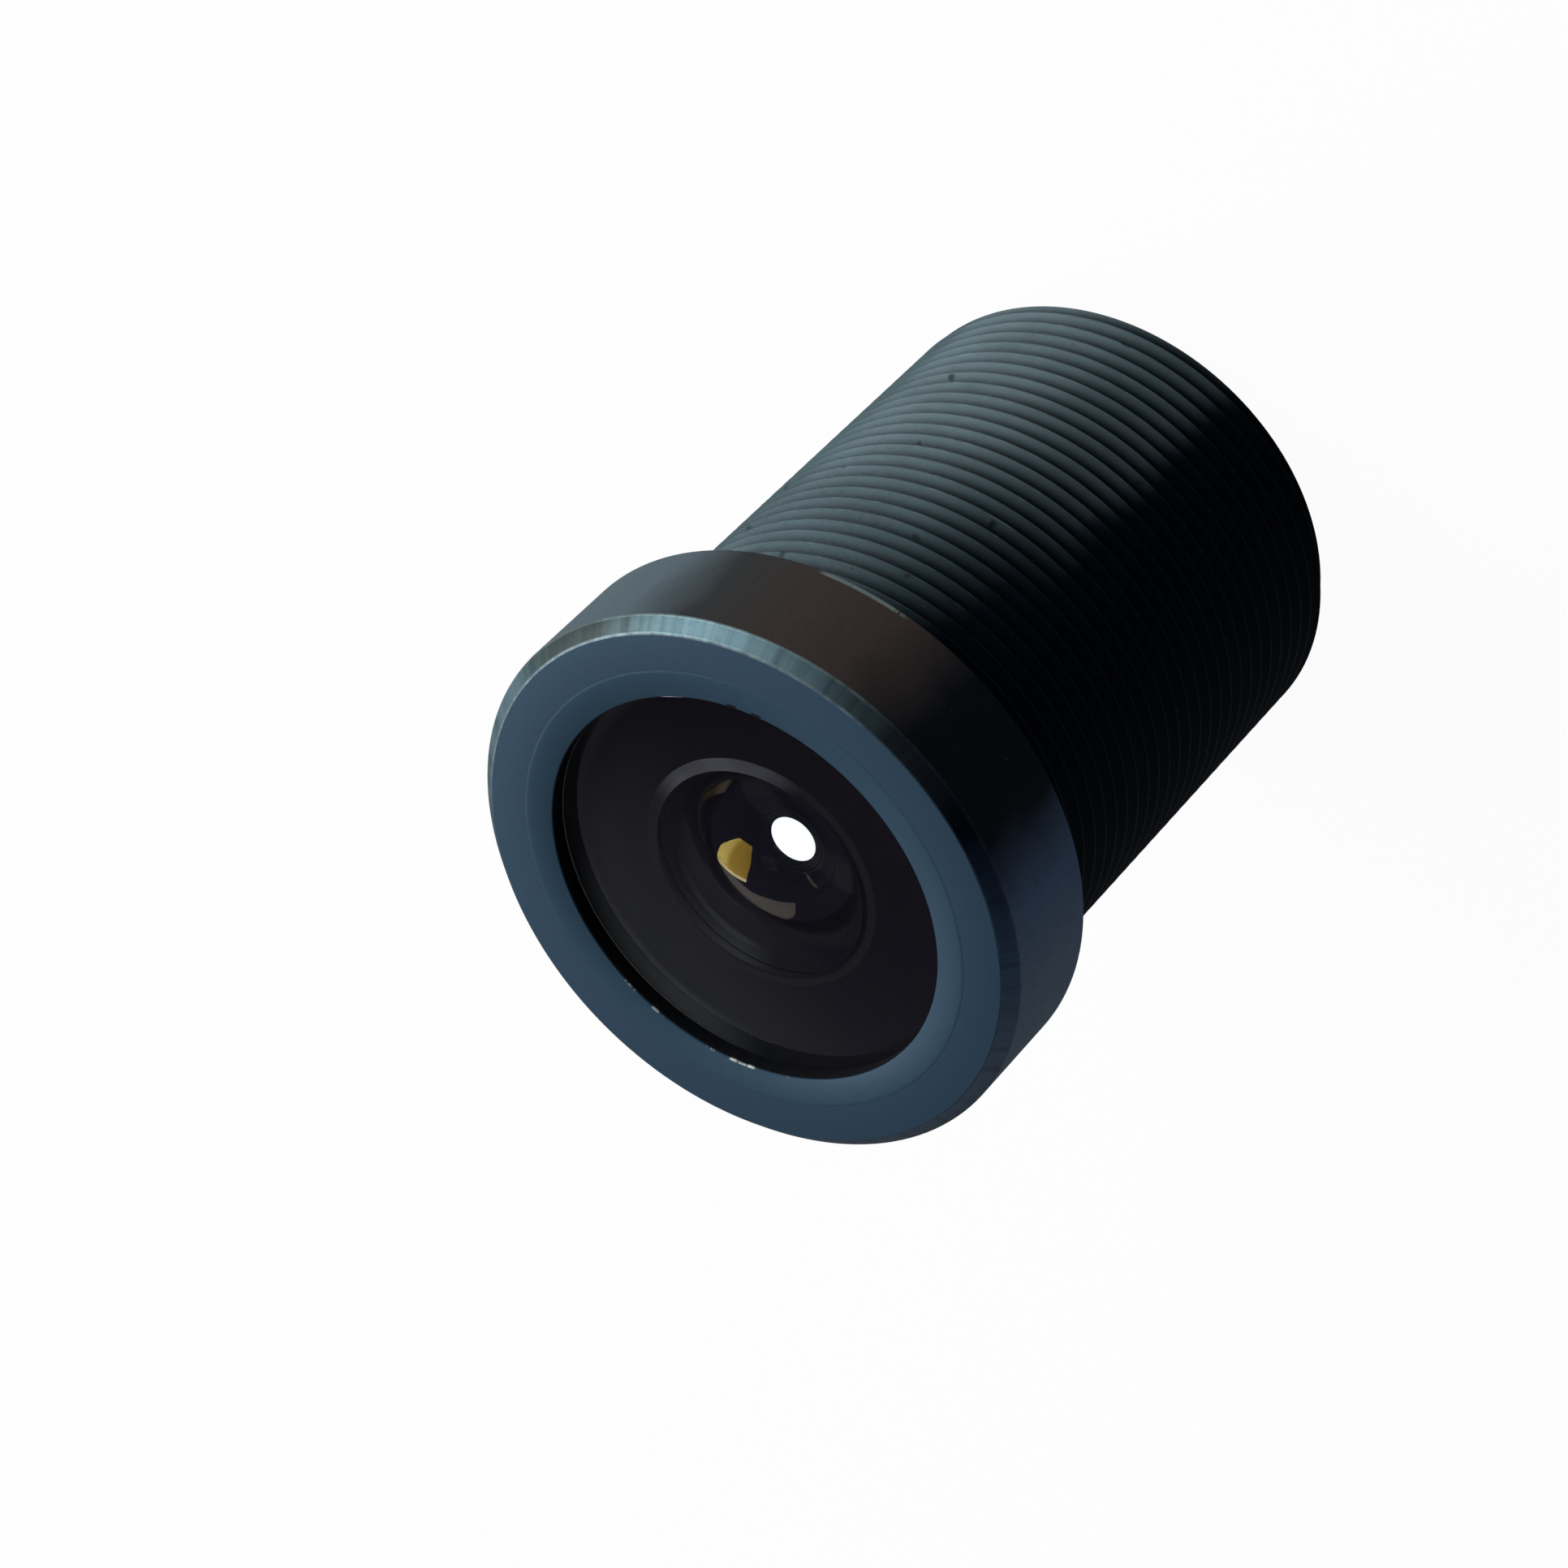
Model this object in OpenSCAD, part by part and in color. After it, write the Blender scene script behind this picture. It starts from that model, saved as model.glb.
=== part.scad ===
// Wide-angle board camera lens with a 12 mm fine-threaded shank.
// It stands on its rear end at z = 0, the optical axis is Z and the front face is on top.
// The glass, spacers and stop are a stack that is loaded from the front, locked by the
// front ring, and carried by the seat inside the barrel. All places follow from that stack.

/* [Head] */
// Diameter of the smooth head
head_d = 14; // [13.4:0.1:16]
// Height of the head, from the shank's shoulder to the front face
head_h = 3.2; // [2.8:0.1:4]
// Wall of the head outside the front ring
head_wall = 1.25; // [0.8:0.05:1.4]
// Chamfer round the front edge of the head
head_chamfer = 0.32; // [0.1:0.02:0.5]
// Small break at the rear edge of the head
head_rear_break = 0.08; // [0.02:0.02:0.2]

/* [Shank] */
// Outer diameter of the threaded shank
shank_d = 12; // [11.6:0.1:12.6]
// Length of the shank, from the rear end to the head
shank_l = 13.8; // [13:0.1:16]
// Chamfer that leads the thread in at the rear end, as deep as the thread
shank_chamfer = 0.3; // [0.1:0.05:0.4]
// Depth of the thread relief, whose rear side runs out at 45 degrees
relief_t = 0.4; // [0.32:0.02:0.5]
// Width of the bottom of the thread relief behind the head
relief_w = 0.5; // [0.3:0.1:0.8]
// Thickness of the seat that carries the stack
seat_t = 1; // [0.6:0.1:1.4]
// Wall round the hollow in the rear end
rear_wall = 1.6; // [1.2:0.1:1.8]

/* [Front ring] */
// Height of the front ring
ring_h = 1.1; // [0.8:0.1:1.4]
// Wall of the ring's skirt round the front lens
ring_wall = 0.31; // [0.25:0.02:0.45]
// Thickness of the lip that holds the front lens
lip_t = 0.5; // [0.3:0.1:0.7]
// Width of the lens rim under the lip
lip_w = 0.35; // [0.25:0.05:0.5]
// Depth of the shallow dish in the ring's face
dish_t = 0.05; // [0.02:0.01:0.1]
// Width of the flat rim left round the dish
ring_rim_w = 0.08; // [0.02:0.02:0.2]

/* [Front lens] */
// Thickness of the front lens at its middle
front_lens_t = 0.6; // [0.5:0.05:1]
// Height of its domed front face
front_dome_h = 0.32; // [0.1:0.02:0.4]
// Depth of the bowl in its rear face
front_bowl_t = 0.8; // [0.6:0.05:1.2]
// Diameter of the bowl's rim
front_bowl_d = 5.6; // [5.2:0.1:6]

/* [Second lens] */
// Thickness of the second lens at its middle
second_lens_t = 0.6; // [0.5:0.05:0.9]
// Depth of the hollow in its front face
second_hollow_t = 0.5; // [0.3:0.05:0.7]
// Width of the flat rim round the front hollow
second_front_rim = 1.8; // [1.5:0.1:2.2]
// Depth of the bowl in its rear face
second_bowl_t = 0.94; // [0.7:0.02:1.1]
// Width of the flat rim round the rear bowl
second_rear_rim = 2.2; // [2:0.1:2.6]

/* [Third lens] */
// Thickness of the third lens at its middle
third_lens_t = 2.4; // [2:0.1:2.8]
// Height of its domed front face
third_front_h = 0.46; // [0.3:0.02:0.6]
// Height of its domed rear face
third_rear_h = 0.11; // [0.05:0.01:0.2]
// Width of the flat rim round both domes
third_rim = 1.9; // [1.6:0.1:2.2]

/* [Doublet] */
// Diameter of the doublet's front lens and of the cemented face
cemented_d = 4.6; // [4.2:0.1:5]
// Thickness of the front lens at its middle
doublet_front_t = 2; // [1.8:0.1:2.6]
// Thickness of the rear lens at its middle
doublet_rear_t = 0.5; // [0.4:0.05:0.9]
// Depth of the hollow in the doublet's front face
doublet_hollow_t = 0.13; // [0.05:0.01:0.2]
// Width of the flat rim round the front hollow
doublet_front_rim = 0.2; // [0.1:0.05:0.4]
// Height of the cemented face
cemented_h = 1.2; // [0.8:0.05:1.3]
// Thickness of the cement film between the two lenses
cement_t = 0.01; // [0.01:0.01:0.03]
// Width of the rear lens's flat shoulder round the cemented face
doublet_shoulder = 0.6; // [0.4:0.05:0.8]
// Height of the domed rear face
doublet_rear_h = 0.72; // [0.5:0.02:0.9]
// Width of the flat rim round the rear dome
doublet_rear_rim = 0.5; // [0.3:0.05:0.7]
// Wall of the cell round the rear lens of the doublet
cell_wall = 0.68; // [0.5:0.02:0.8]

/* [Rear lens] */
// Thickness of the rear lens at its middle
rear_lens_t = 1.7; // [1.4:0.1:2.2]
// Height of its domed front face
rear_front_h = 0.21; // [0.1:0.01:0.4]
// Height of its domed rear face
rear_rear_h = 0.29; // [0.15:0.01:0.45]
// Width of the flat rim round both domes
rear_rim = 1; // [0.7:0.1:1.2]

/* [Spacers and stop] */
// Step from each bore of the barrel to the next wider one
bore_step = 0.3; // [0.2:0.05:0.4]
// Length of the spacer behind the front lens
front_spacer_l = 0.35; // [0.25:0.05:0.8]
// Length of the spacer behind the second lens
second_spacer_l = 0.57; // [0.4:0.01:0.9]
// Length of the spacer in front of the aperture stop
stop_spacer_l = 0.9; // [0.6:0.1:1.2]
// Thickness of the aperture plate
stop_t = 0.12; // [0.08:0.02:0.2]
// Diameter of the aperture
stop_d = 2.8; // [1.6:0.1:3.2]
// Length of the spacer between the aperture plate and the doublet
doublet_spacer_l = 0.24; // [0.16:0.02:0.4]
// Air between the doublet and the rear lens at their middles
rear_air = 0.3; // [0.15:0.05:0.5]
// Thickness of the black light masks
mask_t = 0.05; // [0.03:0.01:0.08]
// How far a spacer, mask or seat stands back from the light path
path_margin = 0.1; // [0.05:0.05:0.2]

/* [Infrared filter] */
// Thickness of the infrared filter
filter_t = 0.5; // [0.3:0.05:0.7]
// Depth of the filter inside the rear end
filter_inset = 0.45; // [0.3:0.05:0.7]
// Width of the seat ring's face under the filter, up to the hollow's wall
filter_seat_w = 1; // [0.7:0.1:1.3]
// Gap round the filter, which the glue fills
glue_gap = 0.3; // [0.2:0.05:0.5]
// How far the bead of glue laps over the filter's rear face
glue_lap = 0.2; // [0.1:0.05:0.3]
// Height of the glue bead over the filter's rear face
glue_rise = 0.15; // [0.1:0.05:0.2]

/* [Fits] */
// Radial clearance of each piece in its bore
fit_gap = 0.02; // [0.01:0.01:0.03]

/* [Hidden] */
$fn = 180;

// Diameters inside the head, from the outside inwards
ring_r = head_d / 2 - head_wall;
front_bore_r = ring_r - fit_gap - ring_wall;
front_lens_d = 2 * (front_bore_r - fit_gap);
opening_d = front_lens_d - 2 * lip_w;

// Diameters of the stack, from the doublet outwards
doublet_d = cemented_d + 2 * doublet_shoulder;
rear_lens_d = doublet_d + 2 * (fit_gap + cell_wall);
third_lens_d = rear_lens_d + 2 * bore_step;
second_lens_d = third_lens_d + 2 * bore_step;
lower_bore_r = rear_lens_d / 2 + fit_gap;
middle_bore_r = third_lens_d / 2 + fit_gap;
upper_bore_r = second_lens_d / 2 + fit_gap;

// Diameters of the polished faces inside their flat rims
second_hollow_d = second_lens_d - 2 * second_front_rim;
second_bowl_d = second_lens_d - 2 * second_rear_rim;
third_dome_d = third_lens_d - 2 * third_rim;
doublet_hollow_d = cemented_d - 2 * doublet_front_rim;
doublet_dome_d = doublet_d - 2 * doublet_rear_rim;
rear_dome_d = rear_lens_d - 2 * rear_rim;
seat_d = rear_dome_d + 4 * path_margin;

// Diameters in the rear end
rear_hollow_r = shank_d / 2 - rear_wall;
filter_d = 2 * (rear_hollow_r - glue_gap);

// Rim thickness of each lens: domes take from it and hollows add to it
front_lens_edge = front_lens_t + front_bowl_t - front_dome_h;
second_lens_edge = second_lens_t + second_hollow_t + second_bowl_t;
third_lens_edge = third_lens_t - third_front_h - third_rear_h;
doublet_front_edge = doublet_front_t + doublet_hollow_t - cemented_h;
doublet_rear_edge = doublet_rear_t + cemented_h - doublet_rear_h;
rear_lens_edge = rear_lens_t - rear_front_h - rear_rear_h;
rear_spacer_l = doublet_rear_h + rear_air + rear_front_h - mask_t;

// Heights of the stack, from the front face down to the seat
face_z = shank_l + head_h;
ring_bottom_z = face_z - ring_h;
front_lens_z = face_z - lip_t;
front_spacer_z = front_lens_z - front_lens_edge;
second_lens_z = front_spacer_z - front_spacer_l;
second_spacer_z = second_lens_z - second_lens_edge;
mask_front_z = second_spacer_z - second_spacer_l;
third_lens_z = mask_front_z - mask_t;
stop_spacer_z = third_lens_z - third_lens_edge;
stop_z = stop_spacer_z - stop_spacer_l;
doublet_spacer_z = stop_z - stop_t;
doublet_front_z = doublet_spacer_z - doublet_spacer_l;
doublet_rear_z = doublet_front_z - doublet_front_edge - cement_t;
mask_rear_z = doublet_rear_z - doublet_rear_edge;
rear_spacer_z = mask_rear_z - mask_t;
rear_lens_z = rear_spacer_z - rear_spacer_l;
seat_z = rear_lens_z - rear_lens_edge;
hollow_z = seat_z - seat_t;
filter_top_z = filter_inset + filter_t;

// Cap of a sphere as a half section, with its rim of diameter d on y = 0 and its crown at h
module cap_section(h, d) {
    r = (d * d / 4 + h * h) / (2 * h);
    intersection() {
        translate([0, h - r])
            circle(r = r, $fn = 720);
        square([d / 2, r]);
    }
}

// Glass turned round the axis with its front rim at height z.
// A positive height is a dome and a negative one a hollow. The rims outside them are flat.
module glass(z, d, edge, front_h, front_d, rear_h, rear_d) {
    translate([0, 0, z])
        rotate_extrude()
            difference() {
                union() {
                    translate([0, -edge])
                        square([d / 2, edge]);
                    if (front_h > 0)
                        cap_section(front_h, front_d);
                    if (rear_h > 0)
                        translate([0, -edge])
                            mirror([0, 1])
                                cap_section(rear_h, rear_d);
                }
                if (front_h < 0)
                    mirror([0, 1])
                        cap_section(-front_h, front_d);
                if (rear_h < 0)
                    translate([0, -edge])
                        cap_section(-rear_h, rear_d);
            }
}

// Ring whose front face is at height z, with a light path that widens or narrows to the rear
module spacer(z, l, outer_r, front_d, rear_d) {
    rotate_extrude()
        polygon([
            [front_d / 2, z], [outer_r, z], [outer_r, z - l], [rear_d / 2, z - l]
        ]);
}

module barrel() {
    shank_r = shank_d / 2;
    head_r = head_d / 2;
    relief_r = shank_r - relief_t;
    color("#25282b")
        rotate_extrude()
            polygon([
                [rear_hollow_r, 0],
                [shank_r - shank_chamfer, 0],
                [shank_r, shank_chamfer],
                [shank_r, shank_l - relief_w - relief_t],
                [relief_r, shank_l - relief_w],
                [relief_r, shank_l],
                [head_r - head_rear_break, shank_l],
                [head_r, shank_l + head_rear_break],
                [head_r, face_z - head_chamfer],
                [head_r - head_chamfer, face_z],
                [ring_r, face_z],
                [ring_r, ring_bottom_z - fit_gap],
                [front_bore_r, ring_bottom_z - fit_gap],
                [front_bore_r, front_spacer_z],
                [upper_bore_r, front_spacer_z],
                [upper_bore_r, second_spacer_z],
                [middle_bore_r, second_spacer_z],
                [middle_bore_r, doublet_spacer_z],
                [lower_bore_r, doublet_spacer_z],
                [lower_bore_r, seat_z],
                [seat_d / 2, seat_z],
                [seat_d / 2, hollow_z],
                [rear_hollow_r, hollow_z]
            ]);
}

module front_ring() {
    outer_r = ring_r - fit_gap;
    color("#33424f")
        rotate_extrude()
            polygon([
                [opening_d / 2, front_lens_z],
                [opening_d / 2, face_z - dish_t],
                [outer_r - ring_rim_w, face_z],
                [outer_r, face_z],
                [outer_r, ring_bottom_z],
                [front_bore_r, ring_bottom_z],
                [front_bore_r, front_lens_z]
            ]);
}

module front_lens() {
    color("#3a3f5a", 0.4)
        glass(front_lens_z, front_lens_d, front_lens_edge,
            front_dome_h, opening_d, -front_bowl_t, front_bowl_d);
}

module front_spacer() {
    color("#17181a")
        spacer(front_spacer_z, front_spacer_l, upper_bore_r - fit_gap,
            front_bowl_d + 2 * path_margin, second_hollow_d + 2 * path_margin);
}

module second_lens() {
    color("#3a3f5a", 0.4)
        glass(second_lens_z, second_lens_d, second_lens_edge,
            -second_hollow_t, second_hollow_d, -second_bowl_t, second_bowl_d);
}

module second_spacer() {
    color("#17181a")
        spacer(second_spacer_z, second_spacer_l, middle_bore_r - fit_gap,
            second_bowl_d + 2 * path_margin, third_dome_d + 4 * path_margin);
}

module light_mask_front() {
    color("#0c0c0d")
        spacer(mask_front_z, mask_t, middle_bore_r - fit_gap,
            third_dome_d + 2 * path_margin, third_dome_d + 2 * path_margin);
}

module third_lens() {
    color("#4a4440", 0.4)
        glass(third_lens_z, third_lens_d, third_lens_edge,
            third_front_h, third_dome_d, third_rear_h, third_dome_d);
}

module stop_spacer() {
    color("#17181a")
        spacer(stop_spacer_z, stop_spacer_l, middle_bore_r - fit_gap,
            third_dome_d + 2 * path_margin, third_dome_d);
}

module aperture_stop() {
    color("#101113")
        spacer(stop_z, stop_t, middle_bore_r - fit_gap, stop_d, stop_d + 2 * stop_t);
}

module doublet_spacer() {
    color("#17181a")
        spacer(doublet_spacer_z, doublet_spacer_l, lower_bore_r - fit_gap,
            doublet_hollow_d, doublet_hollow_d);
}

// Sleeve that centres both cemented lenses; the rear lens seats on its inner step
module doublet_cell() {
    front_r = cemented_d / 2 + fit_gap;
    rear_r = doublet_d / 2 + fit_gap;
    color("#1d1f21")
        rotate_extrude()
            polygon([
                [front_r, doublet_front_z],
                [lower_bore_r - fit_gap, doublet_front_z],
                [lower_bore_r - fit_gap, mask_rear_z],
                [rear_r, mask_rear_z],
                [rear_r, doublet_rear_z],
                [front_r, doublet_rear_z]
            ]);
}

module doublet_front() {
    color("#46505a", 0.4)
        glass(doublet_front_z, cemented_d, doublet_front_edge,
            -doublet_hollow_t, doublet_hollow_d, cemented_h, cemented_d);
}

module doublet_rear() {
    color("#55503a", 0.4)
        glass(doublet_rear_z, doublet_d, doublet_rear_edge,
            -cemented_h, cemented_d, doublet_rear_h, doublet_dome_d);
}

module light_mask_rear() {
    color("#0c0c0d")
        spacer(mask_rear_z, mask_t, lower_bore_r - fit_gap,
            doublet_dome_d + 2 * path_margin, doublet_dome_d + 2 * path_margin);
}

module rear_spacer() {
    color("#17181a")
        spacer(rear_spacer_z, rear_spacer_l, lower_bore_r - fit_gap,
            doublet_dome_d + 2 * path_margin, rear_dome_d + 2 * path_margin);
}

module rear_lens() {
    color("#3f4a48", 0.4)
        glass(rear_lens_z, rear_lens_d, rear_lens_edge,
            rear_front_h, rear_dome_d, rear_rear_h, rear_dome_d);
}

module filter_seat_ring() {
    color("#17181a")
        spacer(hollow_z, hollow_z - filter_top_z, rear_hollow_r - fit_gap,
            seat_d + 2 * path_margin, 2 * (rear_hollow_r - filter_seat_w));
}

module ir_filter() {
    color("#5a8a86", 0.5)
        translate([0, 0, filter_inset])
            cylinder(d = filter_d, h = filter_t);
}

// Bead of glue in the gap round the filter, with a fillet over its rear edge
module filter_glue() {
    color("#1b1a18")
        rotate_extrude()
            polygon([
                [filter_d / 2, filter_top_z],
                [filter_d / 2, filter_inset],
                [filter_d / 2 - glue_lap, filter_inset],
                [rear_hollow_r, filter_inset - glue_rise],
                [rear_hollow_r, filter_top_z]
            ]);
}

barrel();
front_ring();
front_lens();
front_spacer();
second_lens();
second_spacer();
light_mask_front();
third_lens();
stop_spacer();
aperture_stop();
doublet_spacer();
doublet_cell();
doublet_front();
doublet_rear();
light_mask_rear();
rear_spacer();
rear_lens();
filter_seat_ring();
ir_filter();
filter_glue();
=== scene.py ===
"""Dresses a wide-angle board camera lens: its threaded barrel, front ring, glass stack and filter."""

import logging
import math
from dataclasses import dataclass
from enum import Enum
from typing import Any, Callable, Iterator, Optional, Sequence

import bmesh
import bpy
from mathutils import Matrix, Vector

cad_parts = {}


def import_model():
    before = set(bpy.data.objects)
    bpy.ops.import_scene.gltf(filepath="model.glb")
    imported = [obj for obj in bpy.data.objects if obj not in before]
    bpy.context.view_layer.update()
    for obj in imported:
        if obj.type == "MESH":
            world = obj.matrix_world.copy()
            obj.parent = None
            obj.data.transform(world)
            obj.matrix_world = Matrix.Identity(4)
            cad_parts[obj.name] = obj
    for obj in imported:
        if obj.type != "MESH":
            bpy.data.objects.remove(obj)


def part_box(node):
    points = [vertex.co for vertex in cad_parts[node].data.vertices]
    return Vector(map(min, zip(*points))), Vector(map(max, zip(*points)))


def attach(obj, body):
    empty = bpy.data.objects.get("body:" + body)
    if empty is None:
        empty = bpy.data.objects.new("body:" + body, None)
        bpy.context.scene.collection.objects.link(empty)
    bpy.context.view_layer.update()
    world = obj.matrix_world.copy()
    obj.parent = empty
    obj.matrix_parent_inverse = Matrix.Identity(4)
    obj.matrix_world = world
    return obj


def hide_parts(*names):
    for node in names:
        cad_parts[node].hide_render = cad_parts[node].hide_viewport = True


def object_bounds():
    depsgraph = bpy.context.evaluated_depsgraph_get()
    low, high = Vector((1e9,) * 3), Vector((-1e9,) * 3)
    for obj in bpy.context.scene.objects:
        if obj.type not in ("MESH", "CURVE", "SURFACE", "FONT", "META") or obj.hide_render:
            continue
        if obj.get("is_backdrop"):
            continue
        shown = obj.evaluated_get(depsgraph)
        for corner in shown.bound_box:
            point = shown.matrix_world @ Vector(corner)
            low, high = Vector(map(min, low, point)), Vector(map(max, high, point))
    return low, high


LOG = logging.getLogger("lens")
FULL_TURN = 2 * math.pi
MM = 0.001

# In millimetres: the gap left at each glass face, and what counts as the same place
FILM = 0.004
NEAR = 0.001

Point = tuple[float, float]
Corner = tuple[float, float, float]
Colour = tuple[float, float, float]

WHITE: Colour = (1.0, 1.0, 1.0)
DUST: Colour = (0.20, 0.21, 0.22)

# Strength of the anodising's shine
SATIN = 0.12


class Slot(Enum):
    """The record's material slots."""

    BARREL = "barrel_anodised"
    RING = "ring_anodised"
    FRONT_GLASS = "front_glass"
    INNER_GLASS = "inner_glass"
    SPACER = "spacer_black"
    FOIL = "mask_foil"
    PLATE = "stop_plate"
    FILTER = "filter_glass"
    GLUE = "glue_black"


# Shader maths


def math_step(operation: str, swapped: bool = False) -> Callable[..., "Value"]:
    """Makes a method that adds one Math node.

    Args:
        operation: the node's operation.
        swapped: whether the other number comes first.

    Returns:
        The method, which takes the other number or Value where the operation has one.
    """

    def step(value: "Value", other: Any = 0.0) -> "Value":
        """Adds the node."""
        first, second = (other, value) if swapped else (value, other)
        return value.board.value("Math", {0: first, 1: second}, operation=operation)

    return step


class Value:
    """A number socket that can be used in Python sums, each of which adds its Math node."""

    __add__ = __radd__ = math_step("ADD")
    __sub__ = math_step("SUBTRACT")
    __rsub__ = math_step("SUBTRACT", swapped=True)
    __mul__ = __rmul__ = math_step("MULTIPLY")
    __truediv__ = math_step("DIVIDE")
    __abs__ = math_step("ABSOLUTE")
    most = math_step("MAXIMUM")
    root = math_step("SQRT")

    def __init__(self, board: "Board", socket: Any) -> None:
        """Wraps one output socket of a board."""
        self.board = board
        self.socket = socket

    def ramp(self, low: float, high: float, start: float = 0.0, end: float = 1.0) -> "Value":
        """Smooth step from start to end while this goes from low to high, held at both ends.

        Args:
            low: where the step starts.
            high: where it ends, which may be under low.
            start: the result before the step.
            end: the result after it.

        Returns:
            The stepped value.
        """
        if low > high:
            low, high, start, end = high, low, end, start
        inputs = {0: self, 1: low, 2: high, 3: start, 4: end}
        return self.board.value("MapRange", inputs, interpolation_type="SMOOTHSTEP")

    def band(self, low: float, high: float, soft: float) -> "Value":
        """1 between low and high, falling to 0 over soft outside them."""
        return self.ramp(low - soft, low) * self.ramp(high + soft, high)


class Board:
    """A node tree under construction."""

    def __init__(self, tree: Any) -> None:
        """Empties the tree.

        Args:
            tree: the node tree of a material or a world.
        """
        self.tree = tree
        tree.nodes.clear()
        self._spot: Optional[dict[str, Any]] = None

    def node(self, kind: str, inputs: Optional[dict[Any, Any]] = None, **settings: Any) -> Any:
        """Adds any node.

        Args:
            kind: the node's type without ShaderNode.
            inputs: numbers, colours, Values or sockets by the inputs' names or places.
            settings: the node's own settings, which are set before its inputs.

        Returns:
            The new node.
        """
        made = self.tree.nodes.new("ShaderNode" + kind)
        for key, setting in settings.items():
            setattr(made, key, setting)
        for key, source in (inputs or {}).items():
            if isinstance(source, Value):
                source = source.socket
            if isinstance(source, bpy.types.NodeSocket):
                self.tree.links.new(source, made.inputs[key])
            elif isinstance(source, tuple) and len(source) == 3 and made.inputs[key].type == "RGBA":
                made.inputs[key].default_value = (*source, 1.0)
            else:
                made.inputs[key].default_value = source
        return made

    def value(self, kind: str, inputs: dict[Any, Any], **settings: Any) -> Value:
        """Adds a node like node() and wraps its first output."""
        return Value(self, self.node(kind, inputs, **settings).outputs[0])

    def spot(self) -> dict[str, Any]:
        """Where the shaded point is on the object, in millimetres.

        Returns:
            The object coordinates as "vector", x, y, z, the radius "r" from the optical axis and
            "turn", the angle round the axis from -1 to 1.
        """
        if self._spot is None:
            coords = {0: self.node("TexCoord").outputs["Object"], "Scale": 1.0 / MM}
            scaled = self.node("VectorMath", coords, operation="SCALE").outputs[0]
            split = self.node("SeparateXYZ", {0: scaled})
            x, y, z = (Value(self, split.outputs[k]) for k in range(3))
            turn = self.value("Math", {0: y, 1: x}, operation="ARCTAN2") / math.pi
            self._spot = {
                "vector": scaled, "x": x, "y": y, "z": z,
                "r": (x * x + y * y).root(), "turn": turn,
            }
        return self._spot

    def cylinder(self, per_turn: float, per_r: float, per_z: float) -> Any:
        """Coordinates wrapped round the axis for patterns stretched along the cut of a lathe.

        Args:
            per_turn: pattern cells round the axis.
            per_r: cells per millimetre of radius.
            per_z: cells per millimetre of height.

        Returns:
            A vector socket without a seam.
        """
        spot = self.spot()
        r = spot["r"].most(NEAR)
        spread = per_turn / FULL_TURN
        across = spot["x"] / r * spread + spot["r"] * per_r
        along = spot["y"] / r * spread
        return self.node("CombineXYZ", {0: across, 1: along, 2: spot["z"] * per_z}).outputs[0]

    def noise(
        self, scale: float, detail: float = 2.0, vector: Any = None, rough: float = 0.5, shift: float = 0.0
    ) -> Value:
        """Noise from 0 to 1.

        Args:
            scale: cells per millimetre, or per unit of the vector.
            detail: octaves.
            vector: coordinates, by default the object's in millimetres.
            rough: strength of the finer octaves.
            shift: a fourth coordinate that tells one noise from another.

        Returns:
            The noise.
        """
        if vector is None:
            vector = self.spot()["vector"]
        inputs = {"Vector": vector, "W": shift, "Scale": scale, "Detail": detail, "Roughness": rough}
        return self.value("TexNoise", inputs, noise_dimensions="4D")

    def specks(self, per_mm: float, size: float, share: float) -> Value:
        """Small round specks, 1 inside them.

        Args:
            per_mm: cells per millimetre.
            size: radius of a speck against its cell.
            share: share of the cells that have one.

        Returns:
            The mask.
        """
        inputs = {"Vector": self.spot()["vector"], "Scale": per_mm}
        cells = self.node("TexVoronoi", inputs, feature="F1")
        near = Value(self, cells.outputs["Distance"]).ramp(size, size * 0.5)
        pick = self.value("SeparateColor", {0: cells.outputs["Color"]})
        return near * pick.ramp(share, share - 0.001)

    def mix(self, amount: Any, first: Any, second: Any) -> Any:
        """Mixes two colours.

        Args:
            amount: 0 for the first, 1 for the second.
            first: a colour or socket.
            second: a colour or socket.

        Returns:
            The mixed colour's socket.
        """
        made = self.node("Mix", {0: amount, 6: first, 7: second}, data_type="RGBA")
        return made.outputs[2]

    def round_axis(self, turn: Value, table: Sequence[tuple[float, Colour]]) -> Any:
        """Colours that change round the axis.

        Args:
            turn: the angle over pi, from -1 to 1.
            table: angles in degrees, from -180 to 180, each with its colour.

        Returns:
            The colour's socket.
        """
        made = self.node("ValToRGB", {0: turn * 0.5 + 0.5})
        elements = made.color_ramp.elements
        for k, (angle, colour) in enumerate(table):
            place = angle / 360.0 + 0.5
            if k == 0:
                stop = elements[0]
            elif k == len(table) - 1:
                stop = elements[-1]
            else:
                stop = elements.new(place)
            stop.position = place
            stop.color = (*colour, 1.0)
        return made.outputs[0]

    def bump(self, height: Value, depth_mm: float, strength: float = 1.0, under: Any = None) -> Any:
        """Adds a bump.

        Args:
            height: the pattern from 0 to 1.
            depth_mm: its depth in millimetres.
            strength: how much of it shows.
            under: a normal it goes on top of.

        Returns:
            The normal's socket.
        """
        inputs = {"Height": height, "Distance": depth_mm * MM, "Strength": strength}
        if under is not None:
            inputs["Normal"] = under
        return self.node("Bump", inputs).outputs[0]

    def surface(self, **inputs: Any) -> None:
        """Ends the tree in a Principled surface.

        Args:
            inputs: its inputs by name, with underscores for spaces.
        """
        named = {key.replace("_", " "): source for key, source in inputs.items()}
        shader = self.node("BsdfPrincipled", named)
        self.node("OutputMaterial", {0: shader.outputs[0]})

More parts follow.
